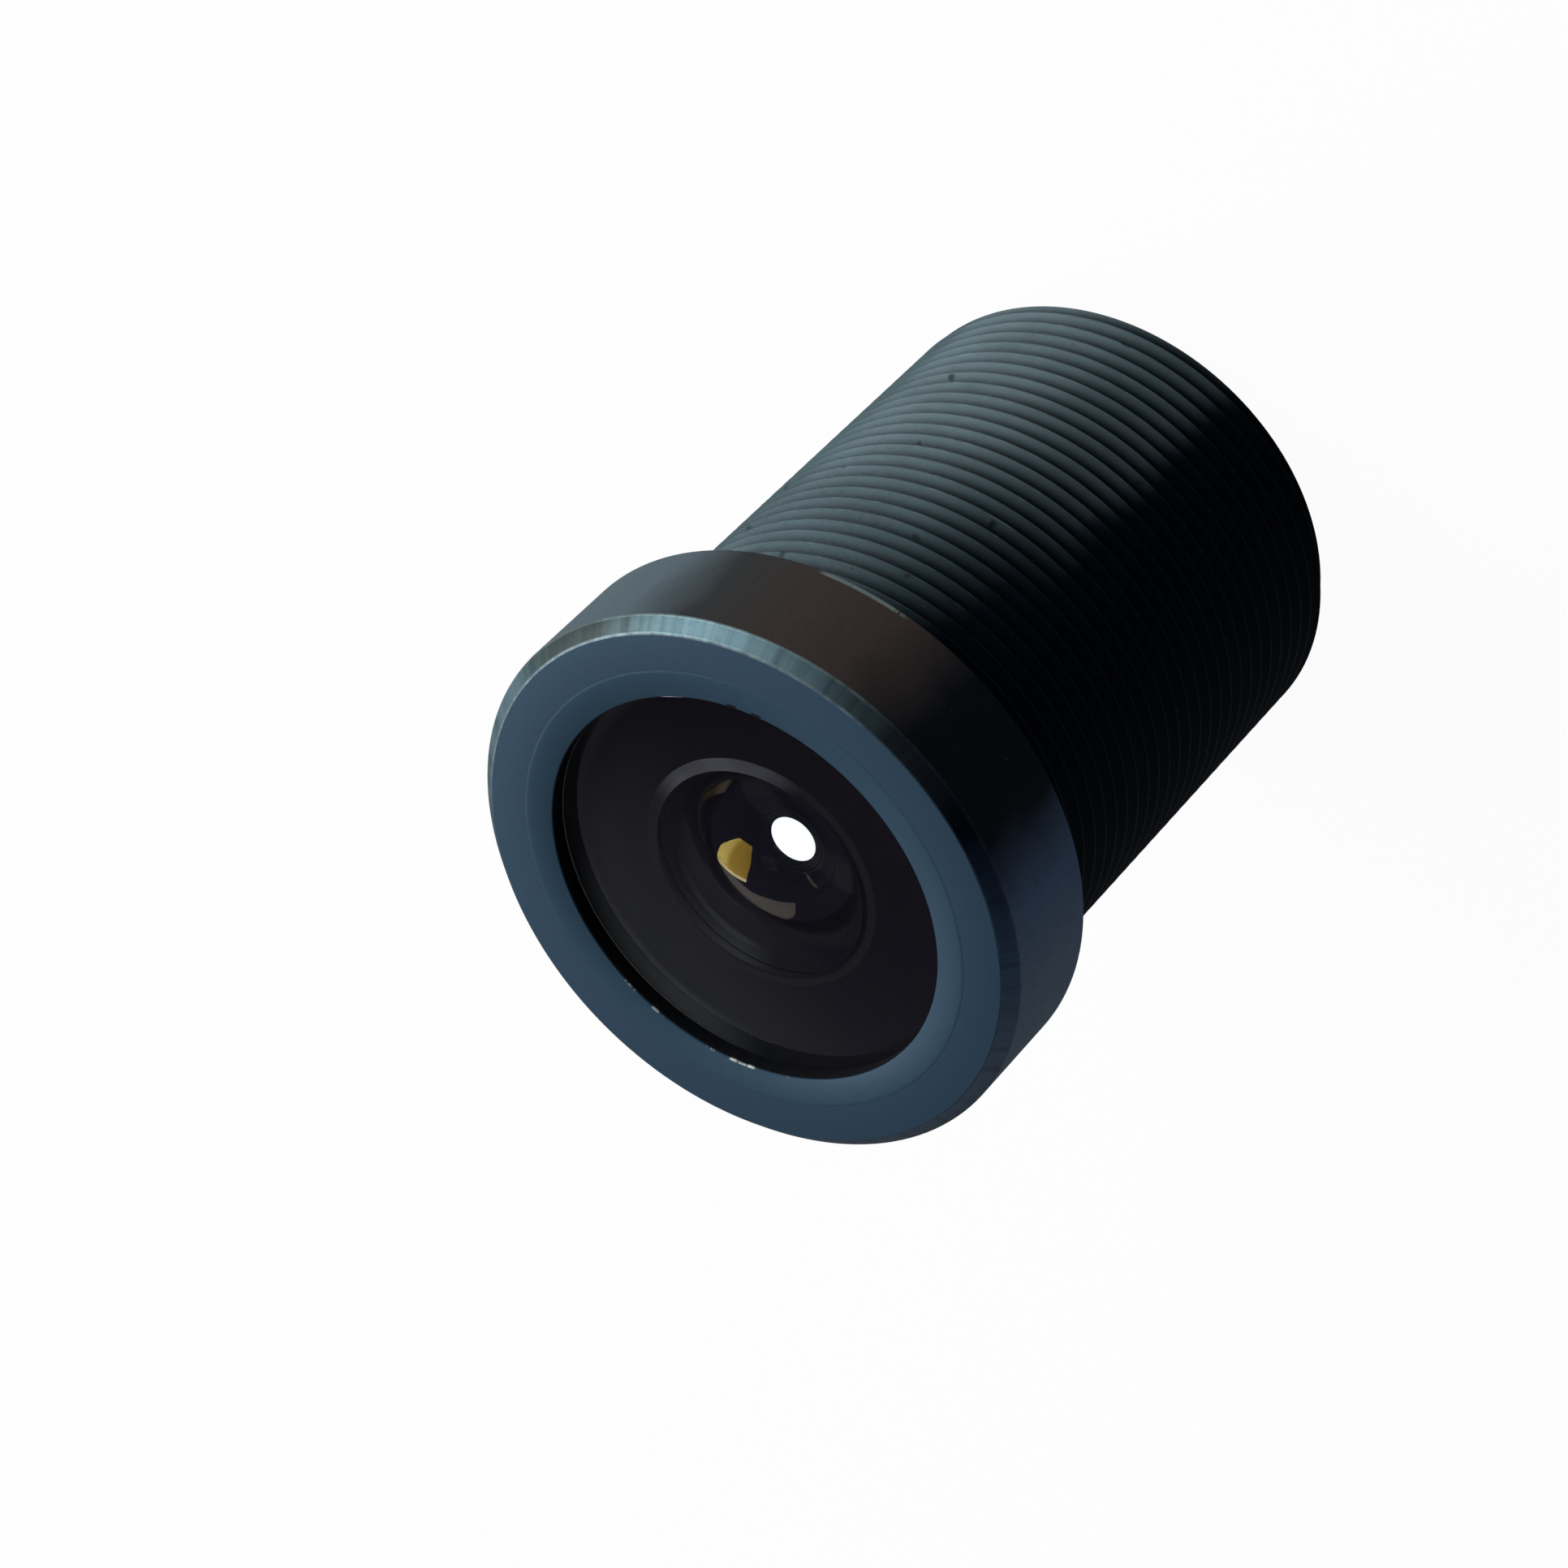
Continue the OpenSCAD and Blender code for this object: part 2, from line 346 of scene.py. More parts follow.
    def glass(self, body: Any, ior: float, residual: Colour) -> None:
        """Ends the tree in clear polished glass.

        Args:
            body: the colour that light takes on its way through.
            ior: the refractive index.
            residual: the colour that the coating reflects.
        """
        self.surface(
            Base_Color=body, Roughness=0.0, IOR=ior, Specular_Tint=residual, Transmission_Weight=1.0
        )

    def blend(self, share: Any, first: Any, second: Any) -> None:
        """Ends the tree in a mix of two shader nodes.

        Args:
            share: 0 for the first, 1 for the second.
            first: a shader node.
            second: a shader node.
        """
        shaders = {0: share, 1: first.outputs[0], 2: second.outputs[0]}
        both = self.node("MixShader", shaders)
        self.node("OutputMaterial", {0: both.outputs[0]})


def new_board(name: str) -> tuple[bpy.types.Material, Board]:
    """Makes a material.

    Args:
        name: its name.

    Returns:
        The material and its empty board.
    """
    material = bpy.data.materials.new(name)
    material.use_nodes = True
    return material, Board(material.node_tree)


# Finishes


@dataclass(frozen=True)
class Finish:
    """A look that makes one material."""

    name: str

    def make(self) -> bpy.types.Material:
        """Builds the material.

        Returns:
            The material.
        """
        material, board = new_board(self.name)
        self.lay(board)
        return material

    def lay(self, board: Board) -> None:
        """Lays the look out on the material's board, each kind of finish in its own way."""
        raise NotImplementedError


@dataclass(frozen=True)
class AnodisedBarrel(Finish):
    """Black anodised aluminium of the barrel: face, chamfer, side, thread and bores.

    Lengths are in millimetres and follow the barrel's own. The named tones are what the face, the
    side, the chamfer and the thread's crests show. Those set at angles round the axis are painted
    light and shade: painted highlights, painted reflections of the room and painted shade on the
    far side.
    """

    name: str = "barrel black anodised"
    face_z: float = 17.0
    head_r: float = 7.0
    chamfer: float = 0.32
    shank_l: float = 13.8
    root_r: float = 5.69
    crest_r: float = 6.0
    face: Colour = (0.035, 0.071, 0.114)
    # The tones set round the axis below are painted light and shade: shade on the side away from the light,
    # reflections of the room and a lit shine.
    painted_shade: Colour = (0.001, 0.004, 0.009)
    navy_reflection: Colour = (0.060, 0.100, 0.180)
    slate_reflection: Colour = (0.110, 0.155, 0.215)
    brown_reflection: Colour = (0.065, 0.046, 0.040)
    smoke_reflection: Colour = (0.042, 0.043, 0.043)
    painted_sheen: Colour = (0.115, 0.150, 0.172)
    dusk_shade: Colour = (0.025, 0.030, 0.038)
    # Painted highlights where the light catches the chamfer and the thread's crests.
    steel_highlight: Colour = (0.140, 0.222, 0.250)
    moss_highlight: Colour = (0.058, 0.076, 0.074)
    teal_highlight: Colour = (0.070, 0.106, 0.120)
    # Painted shade for the thread's roots; also the tone of the dark marks and of the streaks on the
    # chamfer.
    groove: Colour = (0.001, 0.004, 0.007)
    bore: Colour = (0.004, 0.004, 0.005)
    # Bare metal of the rubbed places, which also serves as painted glints where the light catches them.
    bare: Colour = (0.42, 0.50, 0.48)
    side_grain: Colour = (0.018, 0.020, 0.022)
    face_grain: Colour = (0.034, 0.072, 0.118)
    # Painted light on the crests behind the head, and a painted highlight on the crests towards the rear.
    lit_crest: Colour = (0.20, 0.24, 0.26)
    far_crest_sheen: Colour = (0.150, 0.200, 0.215)
    stain: Colour = (0.006, 0.009, 0.010)
    edge_w: float = 0.045
    edge_core: float = 0.015
    rear_break: float = 0.08

    def thread(self, board: Board, turn: Value, cloud: Value) -> Any:
        """Tones of the thread: painted shade in the grooves, painted light and shade on the crests, stains
        and marks.

        Args:
            board: the material's board.
            turn: the angle round the axis over pi.
            cloud: broad noise that the stains follow.

        Returns:
            The colour's socket.
        """
        r, z = board.spot()["r"], board.spot()["z"]
        # Painted light and shade on the crests: lit towards the light, dark on the far side.
        crest = board.round_axis(turn, (
            (-180, self.painted_shade), (-83, self.painted_shade), (-60, self.teal_highlight), (0, self.teal_highlight), (40, self.moss_highlight),
            (120, self.moss_highlight), (180, self.painted_shade),
        ))
        # Painted light behind the head, where the head's cast shadow falls on the thread.
        painted_light_behind_head = z.ramp(10.6, 12.2) * turn.ramp(-0.16, -0.08) * turn.ramp(0.35, 0.20)
        crest = board.mix(painted_light_behind_head * 0.6, crest, self.lit_crest)
        # Painted highlight on the crests towards the rear, at the angles that face the light.
        far = z.ramp(11.0, 5.0) * turn.band(-0.46, -0.13, 0.06)
        crest = board.mix(far * 0.45, crest, self.far_crest_sheen)
        ridge = r.ramp(self.root_r + 0.02, self.crest_r - 0.015)
        # Painted shade in the roots: the grooves take the dark tone, and the crests take their lit or shaded
        # tone.
        colour = board.mix(ridge, self.groove, crest)
        colour = board.mix(cloud.ramp(0.3, 0.75) * 0.2, colour, self.stain)
        marks = board.noise(2.2, 1.0, board.cylinder(26.0, 0.0, 1.9), shift=7.0).ramp(0.70, 0.78)
        return board.mix(marks * 0.8, colour, self.groove)

    def wear_and_glints(self, board: Board, turn: Value, on_thread: Value) -> Value:
        """How far the edges of the head and the crests of the thread are rubbed bare, shown mostly on the
        lit side, with a painted glint on the head's rear edge.

        Args:
            board: the material's board.
            turn: the angle round the axis over pi.
            on_thread: 1 on the thread.

        Returns:
            The mask, up to 1.
        """
        r, z = board.spot()["r"], board.spot()["z"]
        chips = board.noise(3.0, 3.0, board.cylinder(40.0, 0.0, 0.0), rough=0.7, shift=11.0)
        inner_edge = abs(r - (self.head_r - self.chamfer)).most(abs(z - self.face_z))
        outer_edge = abs(r - self.head_r).most(abs(z - (self.face_z - self.chamfer)))
        rear_edge = abs(r - (self.head_r - self.rear_break / 2))
        rear_edge = rear_edge.most(abs(z - (self.shank_l + self.rear_break)))
        wear_and_glints = inner_edge.ramp(self.edge_w, self.edge_core) * chips.ramp(0.30, 0.75, 0.15, 0.5)
        outer_chips = chips.ramp(0.30, 0.75, 0.12, 0.45)
        wear_and_glints = wear_and_glints.most(outer_edge.ramp(self.edge_w, self.edge_core) * outer_chips)
        # Painted highlight: the rubbed edges show mostly on the side that faces the light.
        wear_and_glints = wear_and_glints * (turn.band(-0.42, 0.15, 0.08) * 0.9 + 0.1)
        # Painted glint on the head's rear edge, at the angle where the light catches it.
        rear_glint = chips.ramp(0.36, 0.46) * turn.band(-0.40, -0.33, 0.02)
        wear_and_glints = wear_and_glints.most(rear_edge.ramp(0.13, 0.09) * rear_glint)
        on_crest = r.ramp(self.crest_r - 0.02, self.crest_r - 0.006) * on_thread
        rubbed = board.noise(2.0, 2.0, shift=5.0).ramp(0.50, 0.85) * 0.18
        # The rubbed crests show only on the lit side, partly as a painted highlight.
        return wear_and_glints.most(on_crest * turn.band(-0.40, 0.4, 0.1) * rubbed)

    def lay(self, board: Board) -> None:
        """Lays the look out.

        Args:
            board: the material's board.
        """
        spot = board.spot()
        r, z = spot["r"], spot["z"]
        fine = board.noise(9.0, 3.0)
        broad = board.noise(0.6, 2.0, shift=3.0)
        lines = board.noise(1.0, 2.0, board.cylinder(2.0, 42.0, 42.0), shift=1.0)

        on_face = z.ramp(self.face_z - 0.03, self.face_z - 0.01)
        on_head = z.ramp(self.shank_l - 0.02, self.shank_l + 0.01)
        outside = r.ramp(self.root_r - 0.12, self.root_r - 0.06)
        on_thread = (1.0 - on_head) * outside
        slope = (r - self.head_r) + (z - self.face_z) + self.chamfer
        on_chamfer = abs(slope).ramp(0.03, 0.012) * r.ramp(self.head_r - 0.4, self.head_r - 0.34) * on_head
        inside = r.ramp(5.82, 5.76) * z.ramp(self.face_z - 0.03, self.face_z - 0.05) * on_head
        inside = inside.most((1.0 - on_head) * (1.0 - outside))

        turn = spot["turn"] + broad * 0.06 - 0.03
        # Painted light and shade on the head's side, by angle round the axis: a shine on the lit side, then
        # shade and reflections of the room beyond it.
        side = board.round_axis(turn, (
            (-180, self.slate_reflection), (-150, self.slate_reflection), (-130, self.navy_reflection), (-115, self.painted_shade), (-92, self.painted_shade),
            (-75, self.brown_reflection), (-60, self.brown_reflection), (-43, self.smoke_reflection), (-28, self.painted_sheen), (10, self.painted_sheen),
            (40, self.dusk_shade), (120, self.dusk_shade), (180, self.slate_reflection),
        ))
        side = board.mix(fine.ramp(0.45, 0.8) * 0.15, side, self.side_grain)
        face = board.mix(fine.ramp(0.3, 0.75) * 0.35, self.face, self.face_grain)
        colour = board.mix(on_head, self.thread(board, turn, broad), side)
        streaks = board.noise(2.0, 3.0, board.cylinder(46.0, 0.0, 0.0), rough=0.7, shift=13.0)
        # Painted highlight on the chamfer where the light catches it, and painted shade and reflections on
        # its far side.
        bevel = board.round_axis(turn, (
            (-180, self.slate_reflection), (-160, self.slate_reflection), (-140, self.navy_reflection), (-110, self.painted_shade), (-90, self.dusk_shade),
            (-60, self.steel_highlight), (-40, self.steel_highlight), (-25, self.moss_highlight), (-10, self.moss_highlight), (8, self.steel_highlight),
            (60, self.moss_highlight), (180, self.slate_reflection),
        ))
        bevel = board.mix(streaks.ramp(0.62, 0.25) * 0.55, bevel, self.groove)
        colour = board.mix(on_chamfer, colour, bevel)
        colour = board.mix(on_face, colour, face)
        colour = board.mix(inside, colour, self.bore)

        # Rubbed places and painted glints, in bare metal.
        wear_and_glints = self.wear_and_glints(board, turn, on_thread)
        colour = board.mix(wear_and_glints, colour, self.bare)
        dust = board.specks(5.0, 0.10, 0.10) * (1.0 - inside)
        colour = board.mix(dust * 0.35, colour, DUST)

        rough = 0.46 + fine.ramp(0.3, 0.8) * 0.12 - on_chamfer * 0.10 - on_thread * 0.08 + inside * 0.3
        metal = 0.15 + wear_and_glints * 0.7 + on_chamfer * 0.2 - inside * 0.15
        grain = board.bump(board.noise(34.0, 2.0), 0.004, 0.5)
        lathe = board.bump(lines, 0.003, 0.5, grain)
        board.surface(
            Base_Color=colour, Roughness=rough, Metallic=metal, Specular_IOR_Level=SATIN, Normal=lathe
        )


@dataclass(frozen=True)
class AnodisedRing(Finish):
    """Fine turned black anodising of the front ring.

    Glints are painted highlights on burrs, and dents are painted shade in dark nicks, on the edge of the
    opening. Each is given by its angle over pi.
    """

    name: str = "ring black anodised"
    face_z: float = 17.0
    opening_r: float = 5.05
    face: Colour = (0.036, 0.075, 0.117)
    wall: Colour = (0.004, 0.004, 0.005)
    # Bare metal of the burrs, which also serves as their painted glints.
    bare: Colour = (0.55, 0.56, 0.50)
    grain: Colour = (0.034, 0.070, 0.112)
    glints: tuple[float, ...] = (0.535, 0.673, 0.688, 0.703)
    dents: tuple[float, ...] = (-0.336, -0.297)

    def lay(self, board: Board) -> None:
        """Lays the look out.

        Args:
            board: the material's board.
        """
        spot = board.spot()
        r, z = spot["r"], spot["z"]
        fine = board.noise(10.0, 3.0, shift=2.0)
        lines = board.noise(1.0, 2.0, board.cylinder(2.0, 60.0, 0.0), shift=4.0)
        on_face = z.ramp(self.face_z - 0.11, self.face_z - 0.08)
        face = board.mix(fine.ramp(0.3, 0.8) * 0.4, self.face, self.grain)
        colour = board.mix(on_face, self.wall, face)
        burr = board.noise(2.0, 3.0, board.cylinder(34.0, 0.0, 0.0), rough=0.75, shift=9.0)
        edge = abs(r - self.opening_r).most(abs(z - (self.face_z - 0.05)))
        # Painted highlights: burrs glint only on the side that catches the light, and at the listed glints.
        nicks = burr.ramp(0.58, 0.64) * spot["turn"].band(0.46, 0.76, 0.03)
        for glint in self.glints:
            nicks = nicks.most(spot["turn"].band(glint - 0.004, glint + 0.004, 0.004))
        # Bare metal at the burrs and glints, partly painted highlight.
        wear_and_glints = edge.ramp(0.045, 0.02) * nicks
        colour = board.mix(wear_and_glints, colour, self.bare)
        # Painted shade in each dent.
        for dent in self.dents:
            dent_shade = edge.ramp(0.10, 0.06) * spot["turn"].band(dent - 0.006, dent + 0.006, 0.004)
            colour = board.mix(dent_shade, colour, self.wall)
        dust = board.specks(4.0, 0.09, 0.08)
        colour = board.mix(dust * 0.3, colour, DUST)
        rough = 0.5 - lines.ramp(0.35, 0.7) * 0.08 + (1.0 - on_face) * 0.25
        metal = on_face * 0.15 + wear_and_glints * 0.6
        grain = board.bump(board.noise(36.0, 2.0, shift=6.0), 0.003, 0.5)
        lathe = board.bump(lines, 0.003, 0.5, grain)
        board.surface(
            Base_Color=colour, Roughness=rough, Metallic=metal, Specular_IOR_Level=SATIN, Normal=lathe
        )


@dataclass(frozen=True)
class Glass(Finish):
    """Clear polished glass with a residual reflection colour."""

    name: str
    ior: float
    residual: Colour

    def lay(self, board: Board) -> None:
        """Lays the look out.

        Args:
            board: the material's board.
        """
        board.glass(WHITE, self.ior, self.residual)


@dataclass(frozen=True)
class BlackInk(Finish):
    """Matte black ink on the flats and rims of the glass, with dust and thin places, painted light on the
    side towards the light and near the rim, and painted shade where less of its light is kept.
    """

    name: str = "lens edge ink"
    tone: Colour = (0.0026, 0.0018, 0.0040)
    # Painted light: the tone the ink takes on the side towards the light.
    grey: Colour = (0.0085, 0.0095, 0.0105)
    thin: Colour = (0.0110, 0.0115, 0.0125)
    dust: Colour = (0.050, 0.050, 0.055)
    # Painted light towards the window and near the rim (the next two tones).
    painted_window_light: Colour = (0.030, 0.031, 0.034)
    rim: Colour = (0.090, 0.092, 0.100)
    # Painted shade for ink inside the barrel; light is the share of the ink's tone that is kept.
    deep_shade: Colour = (0.0006, 0.0006, 0.0010)
    light: float = 1.0

    def lay(self, board: Board) -> None:
        """Lays the look out.

        Args:
            board: the material's board.
        """
        cloud = board.noise(0.8, 3.0, shift=1.5)
        grit = board.noise(14.0, 2.0, shift=2.5)
        spot = board.spot()
        # Painted light: the ink grows lighter grey towards the side the light comes from.
        across = (spot["y"] * 0.94 + spot["x"] * 0.34).ramp(-0.2, 4.3)
        colour = board.mix(across, self.tone, self.grey)
        # The thin places show more towards the lit side, which is partly painted light.
        colour = board.mix(cloud.ramp(0.35, 0.7) * (across * 0.20 + 0.05), colour, self.thin)
        colour = board.mix(grit.ramp(0.45, 0.75) * (across * 0.15 + 0.03), colour, self.thin)
        dust = board.specks(3.2, 0.06, 0.16)
        colour = board.mix(dust * 0.3, colour, self.dust)
        # Painted light towards the window, where light bent in by the glass would reach the ink.
        to_window = spot["x"] * 0.64 + spot["y"] * 0.77
        colour = board.mix(to_window.ramp(3.3, 5.0) * 0.8, colour, self.painted_window_light)
        # Painted light on the ink near the rim, on the window's side.
        painted_rim_light = spot["r"].ramp(4.5, 5.0) * to_window.ramp(1.2, 3.6)
        colour = board.mix(painted_rim_light * 0.9, colour, self.rim)
        # Painted shade: the ink darkens as its light falls below 1.
        colour = board.mix(1.0 - self.light, colour, self.deep_shade)
        rough = 0.62 + cloud * 0.2
        normal = board.bump(board.noise(22.0, 3.0, shift=4.0), 0.004, 0.3)
        board.surface(Base_Color=colour, Roughness=rough, Specular_IOR_Level=0.06, Normal=normal)


@dataclass(frozen=True)
class GroundEdge(Finish):
    """Fine ground bevel round the front lens's bowl, thinly inked, lighter on one side as a painted
    highlight.
    """

    name: str = "ground bevel"
    tone: Colour = (0.005, 0.005, 0.008)
    # Tone of the painted highlight.
    light: Colour = (0.070, 0.072, 0.088)

    def lay(self, board: Board) -> None:
        """Lays the look out.

        Args:
            board: the material's board.
        """
        cloud = board.noise(1.2, 3.0, shift=6.5)
        grit = board.noise(30.0, 2.0, shift=3.5)
        # Painted highlight: a lighter band on the side where the light catches the bevel.
        painted_arc_highlight = board.spot()["turn"].band(-0.30, -0.06, 0.14)
        colour = board.mix(painted_arc_highlight * cloud.ramp(0.2, 0.8, 0.6, 1.0), self.tone, self.light)
        normal = board.bump(grit, 0.003, 0.5)
        board.surface(
            Base_Color=colour, Roughness=0.55 + grit * 0.15, Specular_IOR_Level=0.1, Normal=normal
        )


@dataclass(frozen=True)
class MatteBlack(Finish):
    """Black surface of a spacer, plate, foil or bead, which differ in tone, grain and gloss."""

    name: str
    tone: Colour
    light: Colour
    rough: float
    grain_per_mm: float
    grain_mm: float
    turned: float = 0.0
    gloss: float = 0.3
    dust: Colour = (0.14, 0.14, 0.15)

    def lay(self, board: Board) -> None:
        """Lays the look out.

        Args:
            board: the material's board.
        """
        cloud = board.noise(1.4, 3.0, shift=1.0)
        lines = board.noise(1.0, 2.0, board.cylinder(2.0, 36.0, 36.0), shift=5.0)
        colour = board.mix(cloud.ramp(0.35, 0.75), self.tone, self.light)
        colour = board.mix(lines.ramp(0.55, 0.8) * self.turned, colour, self.light)
        dust = board.specks(4.0, 0.08, 0.08)
        colour = board.mix(dust * 0.3, colour, self.dust)
        grain = board.bump(board.noise(self.grain_per_mm, 3.0), self.grain_mm, 0.6)
        normal = board.bump(lines, 0.003, self.turned, grain)
        board.surface(
            Base_Color=colour, Roughness=self.rough + cloud * 0.15,
            Specular_IOR_Level=self.gloss, Normal=normal,
        )


@dataclass(frozen=True)
class CoatedFilter(Finish):
    """Infrared-cut filter: pale cyan glass whose coating reflects red."""

    name: str = "filter coated glass"
    ior: float = 1.52
    residual: Colour = (1.0, 0.42, 0.34)
    cyan: Colour = (0.97, 1.0, 1.0)
    green: Colour = (0.98, 1.0, 0.99)

    def lay(self, board: Board) -> None:
        """Lays the look out.

        Args:
            board: the material's board.
        """
        cloud = board.noise(0.7, 2.0, shift=8.0)
        board.glass(board.mix(cloud.ramp(0.3, 0.8) * 0.5, self.cyan, self.green), self.ior, self.residual)


# Modelling with operators


def deselect() -> None:
    """Leaves edit mode and deselects every object."""
    if bpy.context.object and bpy.context.object.mode != "OBJECT":
        bpy.ops.object.mode_set(mode="OBJECT")
    bpy.ops.object.select_all(action="DESELECT")


def polar(point: Vector) -> tuple[float, float, float]:
    """Radius in millimetres, angle round the axis in radians and height in millimetres of a point."""
    return math.hypot(point.x, point.y) / MM, math.atan2(point.y, point.x), point.z / MM


def weld(threshold: float = 0.000001, outward: bool = True) -> None:
    """Welds the active piece's close points and leaves it in object mode.

    Args:
        threshold: how close they are, in metres.
        outward: whether its faces are turned outward too.
    """
    bpy.ops.object.mode_set(mode="EDIT")
    bpy.ops.mesh.select_all(action="SELECT")
    bpy.ops.mesh.remove_doubles(threshold=threshold)
    if outward:
        bpy.ops.mesh.normals_make_consistent(inside=False)
    bpy.ops.object.mode_set(mode="OBJECT")


def eased(points: Sequence[Corner]) -> list[Point]:
    """Rounds the corners of a closed half section.

    Args:
        points: radius, height and easing distance of each corner, in millimetres.

    Returns:
        Plain points, three for each eased corner.
    """
    plain: list[Point] = []
    for k, (r, z, ease) in enumerate(points):
        if ease <= 0:
            plain.append((r, z))
            continue
        here = Vector((r, z))
        before = (Vector(points[k - 1][:2]) - here).normalized() * ease
        after = (Vector(points[(k + 1) % len(points)][:2]) - here).normalized() * ease
        middle = here + (before + after) * 0.29
        plain += [tuple(here + before), tuple(middle), tuple(here + after)]
    return plain


def cap(rim_r: float, height: float, rim_z: float, steps: int = 48) -> list[Point]:
    """Points of a spherical cap from its crown to its rim.

    Args:
        rim_r: radius of the rim.
        height: height of the crown over the rim, negative where it lies under it.
        rim_z: height of the rim.
        steps: number of chords.

    Returns:
        Radius and height of each point, in millimetres.
    """
    ball = (rim_r * rim_r + height * height) / (2 * abs(height))
    widest = math.asin(rim_r / ball)
    sign = 1 if height > 0 else -1
    angles = [widest * k / steps for k in range(steps + 1)]
    crown_z = rim_z + height
    return [(ball * math.sin(turn), crown_z - sign * ball * (1 - math.cos(turn))) for turn in angles]


def chain(name: str, points: Sequence[Point], closed: bool) -> bpy.types.Object:
    """Draws a half section as a chain of extruded points in the XZ plane, and stays in edit mode.

    Args:
        name: the new piece's name.
        points: radius and height of each point, in millimetres.
        closed: whether the chain returns to its first point.

    Returns:
        The piece.
    """
    deselect()
    bpy.ops.mesh.primitive_plane_add(size=MM)
    piece = bpy.context.object
    piece.name = name
    piece.data.name = name
    bpy.ops.object.mode_set(mode="EDIT")
    bpy.ops.mesh.select_all(action="SELECT")
    bpy.ops.mesh.merge(type="CENTER")
    path = list(points) + ([points[0]] if closed else [])
    here = (0.0, 0.0)
    for k, (r, z) in enumerate(path):
        step = ((r - here[0]) * MM, 0.0, (z - here[1]) * MM)
        if k == 0:
            bpy.ops.transform.translate(value=step)
        else:
            bpy.ops.mesh.extrude_vertices_move(TRANSFORM_OT_translate={"value": step})
        here = (r, z)
    bpy.ops.mesh.select_all(action="SELECT")
    return piece


def turned(name: str, points: Sequence[Point], steps: int = 256, closed: bool = True) -> bpy.types.Object:
    """Turns a half section round the optical axis.

    Args:
        name: the new piece's name.
        points: radius and height of each point, in millimetres.
        steps: number of steps round the axis.
        closed: whether the section is closed.

    Returns:
        The turned piece, in object mode.
    """
    piece = chain(name, points, closed)
    bpy.ops.mesh.spin(steps=steps, angle=FULL_TURN, center=(0, 0, 0), axis=(0, 0, 1), dupli=False)
    weld()
    return piece


def smooth(piece: bpy.types.Object, degrees: float = 32.0) -> None:
    """Shades a piece smooth, apart from its sharp edges.

    Args:
        piece: the piece.
        degrees: the angle above which an edge is sharp.
    """
    deselect()
    piece.select_set(True)
    bpy.context.view_layer.objects.active = piece
    bpy.ops.object.shade_smooth_by_angle(angle=math.radians(degrees))
    bpy.ops.object.modifier_add(type="WEIGHTED_NORMAL")
    weighted = piece.modifiers[-1]
    weighted.mode = "FACE_AREA"
    weighted.weight = 60
    weighted.keep_sharp = True
    bpy.ops.object.modifier_apply(modifier=weighted.name)


def give(piece: bpy.types.Object, materials: Sequence[bpy.types.Material]) -> None:
    """Puts materials in a piece's slots.

    Args:
        piece: the piece.
        materials: the materials, in the order of the slots.
    """
    piece.data.materials.clear()
    for material in materials:
        piece.data.materials.append(material)


def paint(piece: bpy.types.Object, index: int, test: Callable[[float, float, Vector], bool]) -> None:
    """Gives a slot to the faces that pass a test.

    Args:
        piece: the piece.
        index: the slot's number.
        test: takes the radius and height of a face's middle in millimetres and its normal.
    """
    for face in piece.data.polygons:
        r, _, z = polar(face.center)
        if test(r, z, face.normal):
            face.material_index = index


def settle(piece: bpy.types.Object, node: str, slot: Slot) -> bpy.types.Object:
    """Lets the piece stand for its CAD node and logs it.

    Args:
        piece: the finished piece.
        node: the CAD node it replaces.
        slot: not used.

    Returns:
        The piece.
    """
    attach(piece, "root")
    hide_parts(node)
    LOG.info("%s: %d faces in place of %s", piece.name, len(piece.data.polygons), node)
    return piece


def reach(node: str) -> tuple[float, float, float]:
    """Outer radius, lowest and highest height of a CAD node, in millimetres."""
    low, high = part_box(node)
    return high.x / MM, low.z / MM, high.z / MM


# Sub-assemblies

# Faces of the polished pieces meet at a hard edge above this angle in degrees
POLISHED = 20.0

# Each bore step of the barrel, from the rear: the lens it fits and the spacer at its front end
BORE_STEPS = (
    ("rear_lens", "doublet_spacer"), ("third_lens", "second_spacer"), ("second_lens", "front_spacer")
)


@dataclass
class Part:
    """A piece of the lens that stands for one CAD node. Its lengths are in millimetres."""

    name: str
    node: str
    slot: Slot

    def build(self) -> bpy.types.Object:
        """Makes the piece, each kind of part in its own way, and returns it."""
        raise NotImplementedError

    def dress(self, piece: bpy.types.Object, finish: bpy.types.Material) -> None:
        """Gives the piece its finish.

        Args:
            piece: the built piece.
            finish: the material of its slot.
        """
        give(piece, [finish])


